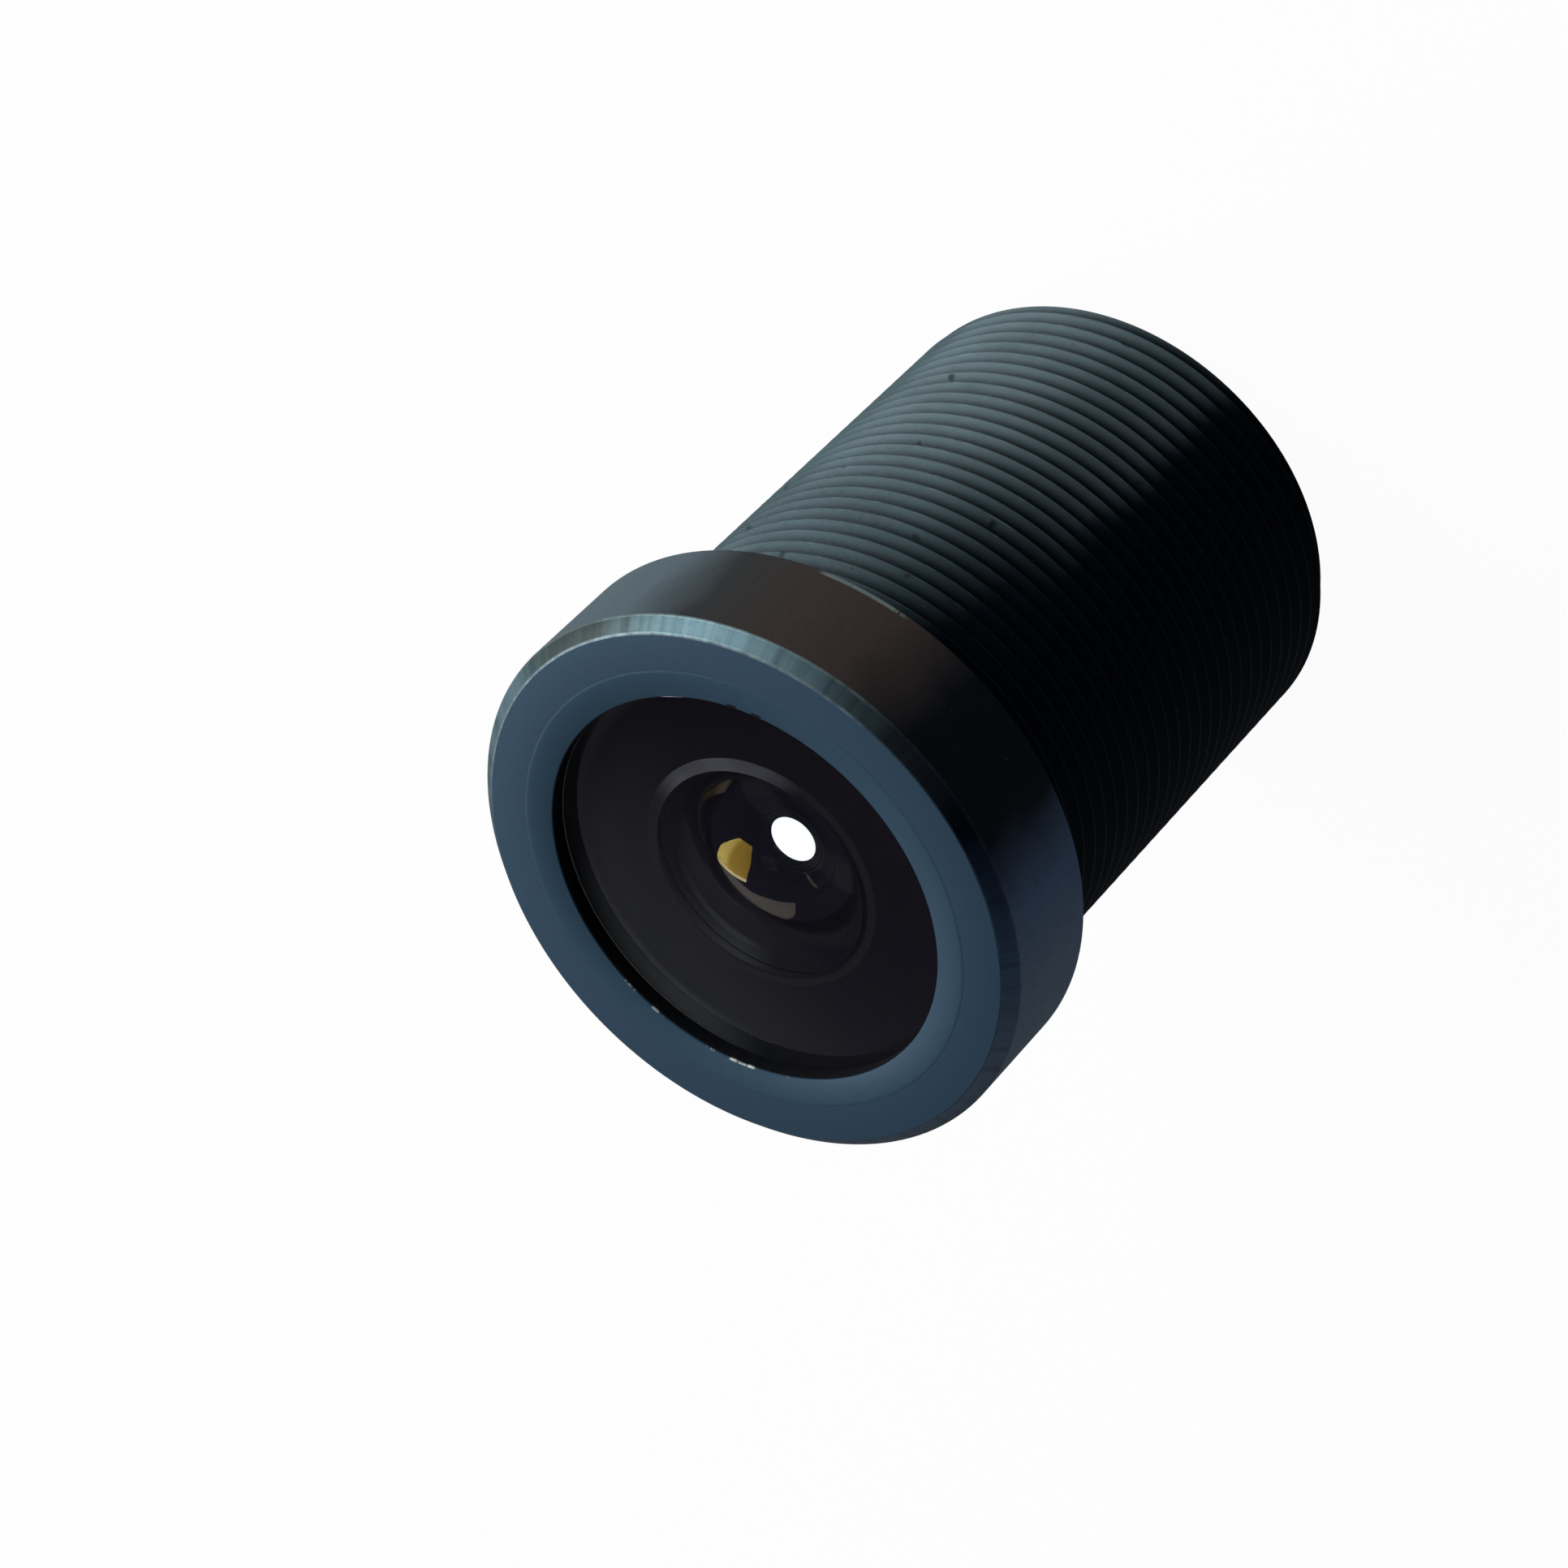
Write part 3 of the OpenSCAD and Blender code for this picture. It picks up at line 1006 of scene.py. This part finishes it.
@dataclass
class ThreadedBarrel(Part):
    """The turned barrel: smooth chamfered head, relief groove and a fine thread to its rear end."""

    name: str = "threaded_barrel"
    node: str = "barrel"
    slot: Slot = Slot.BARREL
    head_r: float = 7.0
    head_h: float = 3.2
    shank_r: float = 6.0
    shank_l: float = 13.8
    chamfer: float = 0.32
    rear_break: float = 0.08
    relief_r: float = 5.6
    relief_w: float = 0.5
    relief_corner: float = 0.06
    pitch: float = 0.5
    root_r: float = 5.69
    start_pitches: float = 1.5
    spare_pitches: int = 3
    lead_in_r: float = 5.68
    ring_r: float = 5.75
    bore_r: float = 5.42
    path_r: float = 2.8
    hollow_r: float = 4.4
    rear_edge: float = 1.2
    clearance: float = 0.02
    steps: int = 160
    trim: float = 0.06
    close: float = 0.000002

    def thread_section(self) -> list[Point]:
        """One pitch of the thread from root to root, with its crest in the middle.

        Returns:
            Radius and height of each point.
        """
        drawn_pitch, drawn_depth = 0.5, 0.31
        half = [(0.25, 0.0), (0.222, 0.0), (0.200, 0.013), (0.040, 0.285), (0.017, drawn_depth)]
        depth = self.shank_r - self.root_r
        rise = [(-u * self.pitch / drawn_pitch, self.root_r + h * depth / drawn_depth) for u, h in half]
        fall = [(-u, r) for u, r in reversed(rise)]
        return [(r, u) for u, r in rise + fall]

    def thread(self) -> bpy.types.Object:
        """Screws one pitch up the shank, lets it run out at both ends and trims it.

        Returns:
            The open threaded skin.
        """
        section = [(r, u - self.start_pitches * self.pitch) for r, u in self.thread_section()]
        skin = chain(self.name, section, closed=False)
        bpy.ops.object.mode_set(mode="OBJECT")
        screw = skin.modifiers.new("thread", "SCREW")
        screw.axis = "Z"
        screw.angle = FULL_TURN
        screw.screw_offset = self.pitch * MM
        screw.iterations = math.ceil(self.shank_l / self.pitch) + self.spare_pitches
        screw.steps = self.steps
        screw.render_steps = self.steps
        bpy.ops.object.modifier_apply(modifier=screw.name)
        weld(self.close, outward=False)
        run_out = self.shank_l - self.relief_w
        for vertex in skin.data.vertices:
            r, _, z = polar(vertex.co)
            limit = min(self.lead_in_r + max(z, 0.0), self.relief_r + max(run_out - z, 0.0))
            if r > limit:
                vertex.co.x *= limit / r
                vertex.co.y *= limit / r
        bpy.ops.object.mode_set(mode="EDIT")
        ends = ((0.0, self.lead_in_r), (run_out - self.trim, self.relief_r + self.trim))
        for height, radius in ends:
            bpy.ops.mesh.select_all(action="SELECT")
            bpy.ops.mesh.bisect(
                plane_co=(0, 0, height * MM), plane_no=(0, 0, 1),
                clear_inner=height == 0, clear_outer=height > 0, threshold=0.0000001,
            )
            self.even_out(skin, height, radius)
        bpy.ops.object.mode_set(mode="OBJECT")
        return skin

    def rim(self, skin: bpy.types.Object, height: float) -> Iterator[tuple[Any, float]]:
        """Goes through the open points of the skin at a height.

        Args:
            skin: the threaded skin, in edit mode.
            height: the height.

        Yields:
            Each point with its place round the axis, counted in steps.
        """
        mesh = bmesh.from_edit_mesh(skin.data)
        for vertex in mesh.verts:
            _, angle, z = polar(vertex.co)
            if vertex.is_boundary and abs(z - height) < NEAR:
                yield vertex, angle / FULL_TURN * self.steps
        bmesh.update_edit_mesh(skin.data)

    def even_out(self, skin: bpy.types.Object, height: float, radius: float) -> None:
        """Leaves one point a step on a trimmed end, on a true circle, so that it can be welded.

        Args:
            skin: the threaded skin, in edit mode.
            height: height of the trimmed end.
            radius: radius of the circle.
        """
        bpy.ops.mesh.select_all(action="DESELECT")
        for vertex, place in self.rim(skin, height):
            vertex.select_set(abs(place - round(place)) > 0.01)
        bpy.ops.mesh.dissolve_verts()
        for vertex, place in self.rim(skin, height):
            angle = round(place) * FULL_TURN / self.steps
            vertex.co = Vector((math.cos(angle) * radius, math.sin(angle) * radius, height)) * MM

    def body_section(self) -> list[Point]:
        """The rest of the half section, from the rear face through the bores to the relief.

        Returns:
            Radius and height of each point.
        """
        top = self.shank_l + self.head_h
        ring_z = reach("front_ring")[1] - self.clearance
        seat_z = reach("rear_spacer")[1] - self.rear_edge
        hollow_z = reach("filter_seat_ring")[2]
        corners = [
            (self.hollow_r, 0.0, 0.06), (self.hollow_r, hollow_z, 0.0),
            (self.path_r, hollow_z, 0.05), (self.path_r, seat_z, 0.05),
        ]
        floor = seat_z
        for lens, spacer in BORE_STEPS:
            bore = reach(lens)[0] + self.clearance
            corners.append((bore, floor, 0.0))
            floor = reach(spacer)[2]
            corners.append((bore, floor, 0.03))
        relief_end = self.shank_l - self.relief_w
        corners += [
            (self.bore_r, floor, 0.0), (self.bore_r, ring_z, 0.03),
            (self.ring_r, ring_z, 0.0), (self.ring_r, top, 0.002),
            (self.head_r - self.chamfer, top, 0.025), (self.head_r, top - self.chamfer, 0.03),
            (self.head_r, self.shank_l + self.rear_break, 0.02),
            (self.head_r - self.rear_break, self.shank_l, 0.02),
            (self.relief_r + self.relief_corner, self.shank_l, 0.0),
            (self.relief_r, self.shank_l - self.relief_corner, 0.0), (self.relief_r, relief_end, 0.0),
            (self.relief_r + self.trim, relief_end - self.trim, 0.0), (self.lead_in_r, 0.0, 0.0),
        ]
        plain = eased(corners)
        return [plain[-1]] + plain[:-1]

    def build(self) -> bpy.types.Object:
        """Joins the threaded skin to the turned rest, closes both seams and counts what is open.

        Returns:
            The barrel.
        """
        skin = self.thread()
        rest = turned("barrel_rest", self.body_section(), steps=self.steps, closed=False)
        deselect()
        rest.select_set(True)
        skin.select_set(True)
        bpy.context.view_layer.objects.active = skin
        bpy.ops.object.join()
        weld(self.close)
        mesh = bmesh.new()
        mesh.from_mesh(skin.data)
        LOG.info("open edges on the barrel: %d", sum(not edge.is_manifold for edge in mesh.edges))
        mesh.free()
        smooth(skin, 34.0)
        return skin


@dataclass
class DishedRing(Part):
    """The front ring: a thin skirt round the front lens and a lip over it, shallowly dished.

    Each nick on the edge of its opening has an angle in radians and a size.
    """

    name: str = "dished_ring"
    node: str = "front_ring"
    slot: Slot = Slot.RING
    opening_r: float = 5.05
    skirt_r: float = 5.42
    dish: float = 0.05
    rim_w: float = 0.08
    lip: float = 0.5
    press: float = 0.019
    nick_turn: float = 0.022
    nick_at: tuple[Point, ...] = (
        (-1.056, 0.030), (-0.934, 0.035), (1.680, 0.020), (2.125, 0.030), (2.208, 0.030)
    )

    def build(self) -> bpy.types.Object:
        """Turns the ring and burrs its inner edge a little.

        Returns:
            The ring.
        """
        outer, low, top = reach(self.node)
        outer += self.press
        section = eased([
            (self.opening_r, top - self.lip, 0.02), (self.skirt_r, top - self.lip, 0.0),
            (self.skirt_r, low, 0.02), (outer, low, 0.03), (outer, top, 0.002),
            (outer - self.rim_w, top, 0.02), (self.opening_r, top - self.dish, 0.03),
        ])
        piece = turned(self.name, section, steps=320)
        for vertex in piece.data.vertices:
            r, angle, z = polar(vertex.co)
            if abs(r - self.opening_r) > 0.04 or z < top - 0.1:
                continue
            for at, size in self.nick_at:
                away = (angle - at + math.pi) % FULL_TURN - math.pi
                depth = math.exp(-((away / self.nick_turn) ** 2)) * size * MM
                vertex.co.x -= math.cos(angle) * depth
                vertex.co.y -= math.sin(angle) * depth
        smooth(piece)
        piece.visible_shadow = False
        return piece


@dataclass
class LensElement(Part):
    """One polished lens with blackened flats and rim. Heights are over the rims, hollows negative."""

    ior: float
    front_h: float
    front_r: float
    rear_h: float
    rear_r: float
    front_residual: Colour
    rear_residual: Colour
    bevel: float = 0.04
    ground_w: float = 0.0

    def build(self) -> bpy.types.Object:
        """Turns the lens from the crown of its front face to the crown of its rear face.

        Returns:
            The lens.
        """
        outer, low, high = reach(self.node)
        front_z = high - max(self.front_h, 0.0) - FILM
        rear_z = low + max(self.rear_h, 0.0) + FILM
        front = cap(self.front_r, self.front_h, front_z)
        rear = cap(self.rear_r, -self.rear_h, rear_z)
        edge = eased([
            (*front[-1], 0.0), (outer, front_z, self.bevel), (outer, rear_z, self.bevel), (*rear[-1], 0.0)
        ])
        if outer - self.front_r < NEAR:
            edge = [front[-1]] + edge[4:]
        if self.ground_w > 0:
            edge = edge[:-1] + [(self.rear_r + self.ground_w, rear_z)]
            rear = [point for point in rear if point[0] < self.rear_r - self.ground_w * 0.3]
            rear.append(rear[-1])
        piece = turned(self.name, front[:-1] + edge + rear[-2::-1], steps=192, closed=False)
        smooth(piece, POLISHED)
        piece.visible_shadow = False
        return piece

    def dress(self, piece: bpy.types.Object, finish: bpy.types.Material) -> None:
        """Gives the polished faces their glass and the flats and rim their ink.

        Args:
            piece: the lens.
            finish: the ink's material.
        """
        label = self.name.replace("_", " ")
        front = Glass(label + " front coating", self.ior, self.front_residual)
        rear = Glass(label + " rear coating", self.ior, self.rear_residual)
        give(piece, [front.make(), rear.make(), finish])
        outer = reach(self.node)[0]
        paint(piece, 1, lambda r, z, normal: normal.z < 0)
        paint(piece, 2, lambda r, z, normal: r > (self.front_r if normal.z > 0 else self.rear_r))
        paint(piece, 2, lambda r, z, normal: r > outer - self.bevel * 1.1)
        if self.ground_w > 0:
            piece.data.materials.append(GroundEdge().make())
            paint(piece, 3, lambda r, z, normal: normal.z < 0 and abs(r - self.rear_r) < self.ground_w)


@dataclass
class SpacerRing(Part):
    """A turned black ring whose bore is as wide as the light path at its two faces."""

    front_r: float
    rear_r: float
    ease: float = 0.02

    def section(self) -> list[Corner]:
        """Corners of the half section, from the front of the bore round the outside.

        Returns:
            Radius, height and easing distance of each corner.
        """
        outer, low, high = reach(self.node)
        return [
            (self.front_r, high, self.ease), (outer, high, self.ease),
            (outer, low, self.ease), (self.rear_r, low, self.ease),
        ]

    def build(self) -> bpy.types.Object:
        """Turns the ring.

        Returns:
            The ring.
        """
        piece = turned(self.name, eased(self.section()), steps=128)
        smooth(piece)
        return piece


@dataclass
class SteppedSleeve(SpacerRing):
    """The sleeve round the cemented pair, with a step that the rear lens seats on."""

    name: str = "cell_sleeve"
    node: str = "doublet_cell"
    slot: Slot = Slot.SPACER
    front_r: float = 2.32
    rear_r: float = 2.92
    ease: float = 0.03
    step_h: float = 0.981
    step_ease: float = 0.02

    def section(self) -> list[Corner]:
        """Corners of the half section, with the step in its bore.

        Returns:
            Radius, height and easing distance of each corner.
        """
        outside = super().section()[:3]
        low = outside[-1][1]
        step_z = low + self.step_h
        return outside + [
            (self.rear_r, low, self.step_ease), (self.rear_r, step_z, 0.0),
            (self.front_r, step_z, self.step_ease),
        ]


@dataclass
class FilterPane(Part):
    """The infrared filter in the rear end."""

    name: str = "filter_pane"
    node: str = "ir_filter"
    slot: Slot = Slot.FILTER
    bevel: float = 0.03

    def build(self) -> bpy.types.Object:
        """Turns the pane with a fine ground edge.

        Returns:
            The pane.
        """
        outer, low, high = reach(self.node)
        outer, low, high = outer - FILM, low + FILM, high - FILM
        edge = eased([
            (outer - 1.0, high, 0.0), (outer, high, self.bevel),
            (outer, low, self.bevel), (outer - 1.0, low, 0.0),
        ])
        piece = turned(self.name, [(0.0, high), *edge, (0.0, low)], steps=192, closed=False)
        smooth(piece, POLISHED)
        piece.visible_shadow = False
        return piece


@dataclass
class GlueBead(Part):
    """The bead of glue that holds the filter.

    The crown gives the free face from the wall inwards, each point by its distance from the wall
    and its height. The waves give how many there are round the bead, their phase and their share.
    """

    name: str = "glue_bead"
    node: str = "filter_glue"
    slot: Slot = Slot.GLUE
    swell: float = 0.018
    crown: tuple[Point, ...] = (
        (0.0, 0.02), (0.08, 0.035), (0.16, 0.045), (0.26, 0.06), (0.34, 0.085), (0.42, 0.115)
    )
    waves: tuple[Corner, ...] = ((5, 0.6, 0.5), (11, 2.0, 0.3), (23, 0.0, 0.2))

    def build(self) -> bpy.types.Object:
        """Turns the bead and lets its free face swell and sink as cured glue does.

        Returns:
            The bead.
        """
        outer, low, high = reach(self.node)
        filter_r, filter_low, _ = reach("ir_filter")
        crown = [(outer - inward, low + rise) for inward, rise in self.crown]
        inner = [(filter_r - 0.2, filter_low), (filter_r, filter_low), (filter_r, high)]
        piece = turned(self.name, [(outer, high), *crown, *inner])
        for vertex in piece.data.vertices:
            _, angle, z = polar(vertex.co)
            if z <= filter_low - 0.01:
                wave = sum(math.sin(angle * count + phase) * share for count, phase, share in self.waves)
                vertex.co.z += (0.5 + 0.5 * wave) * self.swell * MM
        smooth(piece, 50.0)
        return piece


def glass_stack() -> list[LensElement]:
    """Lists the lenses from the front to the rear.

    Returns:
        The six lenses.
    """
    plum, blue = (0.34, 0.28, 0.42), (0.020, 0.025, 0.050)
    faint, cement = (0.020, 0.022, 0.030), (0.02, 0.02, 0.02)
    front, inner = Slot.FRONT_GLASS, Slot.INNER_GLASS
    return [
        LensElement(
            "front_glass", "front_lens", front, 1.77, 0.32, 5.05, -0.8, 2.8, plum, WHITE, ground_w=0.14
        ),
        LensElement("second_glass", "second_lens", inner, 1.62, -0.5, 2.4, -0.94, 2.0, blue, faint),
        LensElement("third_glass", "third_lens", inner, 1.85, 0.46, 2.0, 0.11, 2.0, faint, faint),
        LensElement("crown_glass", "doublet_front", inner, 1.62, -0.13, 2.1, 1.2, 2.3, faint, cement, 0.02),
        LensElement("flint_glass", "doublet_rear", inner, 1.85, -1.2, 2.3, 0.72, 2.4, cement, faint, 0.03),
        LensElement("rear_glass", "rear_lens", inner, 1.62, 0.21, 2.6, 0.29, 2.6, faint, faint),
    ]


def spacer_stack() -> list[SpacerRing]:
    """Lists the black rings from the front to the rear, and last the sleeve of the cemented pair.

    Returns:
        The spacers, masks, aperture plate, seat ring and sleeve.
    """
    thin = 0.008
    return [
        SpacerRing("front_spacer_ring", "front_spacer", Slot.SPACER, 2.9, 2.5),
        SpacerRing("second_spacer_ring", "second_spacer", Slot.SPACER, 2.1, 2.2),
        SpacerRing("front_mask_foil", "light_mask_front", Slot.FOIL, 2.1, 2.1, thin),
        SpacerRing("stop_spacer_ring", "stop_spacer", Slot.SPACER, 2.1, 2.0),
        SpacerRing("aperture_plate", "aperture_stop", Slot.PLATE, 1.4, 1.52, thin),
        SpacerRing("doublet_spacer_ring", "doublet_spacer", Slot.SPACER, 2.1, 2.1),
        SpacerRing("rear_mask_foil", "light_mask_rear", Slot.FOIL, 2.5, 2.5, thin),
        SpacerRing("rear_spacer_ring", "rear_spacer", Slot.SPACER, 2.5, 2.7),
        SpacerRing("seat_ring", "filter_seat_ring", Slot.SPACER, 2.9, 3.4, 0.04),
        SteppedSleeve(),
    ]


def slot_finishes() -> dict[Slot, bpy.types.Material]:
    """Makes the finish of each slot.

    Returns:
        The materials by slot. The slots of the lenses give the ink of their flats and rims.
    """
    spacer_tone, spacer_light = (0.0012, 0.0012, 0.0018), (0.0026, 0.0026, 0.0034)
    foil_tone, foil_light = (0.006, 0.006, 0.007), (0.010, 0.010, 0.011)
    plate_tone, plate_light = (0.008, 0.008, 0.010), (0.014, 0.014, 0.016)
    glue_tone, glue_light = (0.010, 0.009, 0.008), (0.020, 0.018, 0.016)
    finishes = {
        Slot.BARREL: AnodisedBarrel(),
        Slot.RING: AnodisedRing(),
        Slot.FRONT_GLASS: BlackInk(),
        # The inner lenses' ink takes painted shade, since it lies far inside the barrel.
        Slot.INNER_GLASS: BlackInk("inner lens ink", light=0.15),
        Slot.SPACER: MatteBlack("spacer matte", spacer_tone, spacer_light, 0.6, 30.0, 0.004, 0.4, 0.05),
        Slot.FOIL: MatteBlack("mask foil", foil_tone, foil_light, 0.6, 60.0, 0.002),
        Slot.PLATE: MatteBlack("stop plate", plate_tone, plate_light, 0.55, 45.0, 0.003),
        Slot.FILTER: CoatedFilter(),
        Slot.GLUE: MatteBlack("cured glue", glue_tone, glue_light, 0.22, 8.0, 0.010),
    }
    return {slot: finish.make() for slot, finish in finishes.items()}


# Studio


def direction(azimuth: float, elevation: float) -> Vector:
    """Direction of an azimuth from +X and an elevation, both in degrees."""
    turn, rise = math.radians(azimuth), math.radians(elevation)
    return Vector((math.cos(rise) * math.cos(turn), math.cos(rise) * math.sin(turn), math.sin(rise)))


@dataclass
class Studio:
    """Pale floor, soft lamps, world and the camera at the photograph's viewing angle."""

    camera_at: tuple[float, float, float] = (1.0273, -92.6054, 97.7898)
    camera_turn: tuple[float, float, float] = (-37.8952, 31.6161, -146.0392)
    focal_mm: float = 126.763
    target: tuple[float, float, float] = (0.0, 0.0, 11.0)
    unlit_azimuth: float = -105.0
    paper: Colour = (0.9, 0.9, 0.9)
    paper_mirrored: Colour = (0.10, 0.11, 0.13)
    walls: Colour = (0.26, 0.28, 0.30)
    ceiling: Colour = (0.05, 0.05, 0.07)
    unlit: Colour = (0.004, 0.006, 0.010)
    room_in_glass: Colour = (0.035, 0.035, 0.06)
    amber: Colour = (0.9, 0.5, 0.06)
    bounces: int = 28

    def floor(self) -> None:
        """A white floor that keeps the shadow and looks white to the camera and through glass."""
        deselect()
        bpy.ops.mesh.primitive_circle_add(vertices=96, radius=1.2, fill_type="NGON", location=(0, 0, 0))
        ground = bpy.context.object
        ground.name = "studio_floor"
        material, board = new_board("studio floor")
        seen = board.node("LightPath").outputs
        camera = Value(board, seen["Is Camera Ray"])
        glossy = Value(board, seen["Is Glossy Ray"])
        through = Value(board, seen["Is Transmission Ray"])
        share = (camera * 0.96).most(glossy).most(through)
        paper = board.node("BsdfDiffuse", {0: self.paper})
        glow_tone = board.mix(glossy * (1.0 - through), WHITE, self.paper_mirrored)
        glow = board.node("Emission", {0: glow_tone, 1: 1.0 + through * 0.3})
        board.blend(share, paper, glow)
        give(ground, [material])
        ground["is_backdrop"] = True

    def world(self) -> None:
        """A room with grey walls, a dark ceiling and a dark side, white to the camera itself."""
        world = bpy.data.worlds.new("studio room")
        bpy.context.scene.world = world
        world.use_nodes = True
        board = Board(world.node_tree)
        coords = board.node("TexCoord").outputs["Generated"]
        split = board.node("SeparateXYZ", {0: coords}).outputs
        x, y, height = (Value(board, split[k]) for k in range(3))
        tone = board.mix(height.ramp(0.15, 0.85), self.walls, self.ceiling)
        away = direction(self.unlit_azimuth, 0.0)
        unlit = x * away.x + y * away.y
        tone = board.mix(unlit.ramp(0.35, 0.85) * 0.88, tone, self.unlit)
        seen = board.node("LightPath").outputs
        tone = board.mix(seen["Is Transmission Ray"], tone, self.room_in_glass)
        tone = board.mix(seen["Is Camera Ray"], tone, WHITE)
        back = board.node("Background", {0: tone, 1: 1.0})
        board.node("OutputWorld", {0: back.outputs[0]})

    def lamp(
        self, name: str, place: Point, distance: float, size: Point, radiance: float, colour: Colour
    ) -> None:
        """Adds a rectangular softbox that faces the lens.

        Args:
            name: the lamp's name.
            place: its azimuth from +X and its elevation, in degrees.
            distance: its distance from the lens in millimetres.
            size: its width and height in millimetres.
            radiance: how bright its face is, where 1 is white.
            colour: its colour.
        """
        away = direction(*place)
        light = bpy.data.lights.new(name, "AREA")
        light.shape = "RECTANGLE"
        light.size = size[0] * MM
        light.size_y = size[1] * MM
        light.energy = radiance * math.pi * light.size * light.size_y
        light.color = colour
        lamp = bpy.data.objects.new(name, light)
        lamp.location = (Vector(self.target) + away * distance) * MM
        lamp.rotation_euler = away.to_track_quat("Z", "Y").to_euler()
        lamp.visible_transmission = False
        bpy.context.scene.collection.objects.link(lamp)

    def card(
        self, name: str, corners: Sequence[Point], distance: float, light: Colour,
        strip: Optional[Colour] = None, line: Optional[Colour] = None,
    ) -> None:
        """Adds a glowing card that shows only in the glass, as the room's window and wall do.

        A card that has a strip also turns to amber on its other side.

        Args:
            name: the card's name.
            corners: azimuth and elevation of each corner, in degrees.
            distance: distance of the corners from the lens in millimetres.
            light: the card's glow.
            strip: its glow where the azimuth is low.
            line: its glow where the azimuth is high, along the card's lower edge.
        """
        deselect()
        bpy.ops.mesh.primitive_circle_add(vertices=len(corners), radius=0.1, fill_type="NGON")
        sheet = bpy.context.object
        sheet.name = name
        for vertex, corner in zip(sheet.data.vertices, corners):
            vertex.co = (Vector(self.target) + direction(*corner) * distance) * MM
        material, board = new_board(name)
        seen = board.node("LightPath").outputs["Is Transmission Ray"]
        clear = board.node("BsdfTransparent")
        spot = board.spot()
        rise_over = (spot["z"] - self.target[2]) / spot["r"]
        tone = light
        if strip is not None:
            across = spot["turn"] * 180.0 + rise_over * 34.0
            tone = board.mix(across.ramp(92.0, 76.0), tone, strip)
            tone = board.mix(across.ramp(100.0, 125.0) * 0.35, tone, self.amber)
        if line is not None:
            along = spot["turn"] * 180.0 - rise_over * 40.0
            tone = board.mix(along.ramp(50.5, 53.5), tone, line)
        glow = board.node("Emission", {0: tone, 1: 1.0})
        board.blend(seen, clear, glow)
        give(sheet, [material])
        sheet.visible_camera = sheet.visible_diffuse = False
        sheet.visible_glossy = sheet.visible_shadow = False
        sheet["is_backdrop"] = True

    def cards(self) -> None:
        """Amber window and grey wall that the front bowl shows as a patch and a crescent."""
        window = ((63, 7), (49, 30), (33, 54), (40, 67), (74, 58), (88, 37))
        wall = ((60, -3), (60, 6), (78, 27), (96, 31), (115, 39), (142, 42), (137, 25), (124, -3))
        self.card("amber window", window, 260.0, (2.1, 1.30, 0.17), (3.9, 2.9, 0.75), (4.4, 3.6, 2.0))
        self.card("grey wall", wall, 320.0, (0.50, 0.45, 0.40))

    def lamps(self) -> None:
        """A window that lights the faces, and a soft light from the +X side."""
        self.lamp("window", (56.0, 42.0), 240.0, (100.0, 100.0), 7.0, (1.0, 0.98, 0.95))
        self.lamp("side softbox", (2.0, 31.0), 190.0, (180.0, 115.0), 5.0, (0.90, 0.98, 1.0))

    def camera(self) -> None:
        """The photograph's camera."""
        data = bpy.data.cameras.new("photo camera")
        data.lens = self.focal_mm
        data.sensor_width = data.sensor_height = 36.0
        data.sensor_fit = "HORIZONTAL"
        data.clip_start = 0.005
        data.clip_end = 20.0
        camera = bpy.data.objects.new("photo camera", data)
        camera.location = Vector(self.camera_at) * MM
        camera.rotation_euler = [math.radians(angle) for angle in self.camera_turn]
        bpy.context.scene.collection.objects.link(camera)
        bpy.context.scene.camera = camera

    def build(self) -> None:
        """Sets up everything round the lens."""
        scene = bpy.context.scene
        scene.view_settings.view_transform = "Standard"
        scene.cycles.max_bounces = scene.cycles.transmission_bounces = self.bounces
        self.camera()
        self.floor()
        self.world()
        self.lamps()
        self.cards()


def plain(corners: Sequence[Vector]) -> list[list[float]]:
    """Corners as plain lists of numbers."""
    return [[float(number) for number in corner] for corner in corners]


def main() -> None:
    """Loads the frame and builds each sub-assembly in order."""
    logging.basicConfig(level=logging.INFO, format="%(name)s: %(message)s")
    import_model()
    cad_box = plain(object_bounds())
    Studio().build()

    finishes = slot_finishes()
    for part in [ThreadedBarrel(), DishedRing(), *glass_stack(), *spacer_stack(), FilterPane(), GlueBead()]:
        piece = part.build()
        part.dress(piece, finishes[part.slot])
        settle(piece, part.node, part.slot)

    deselect()
    {"cad": cad_box, "visual": plain(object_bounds())}


if __name__ == "__main__":
    main()
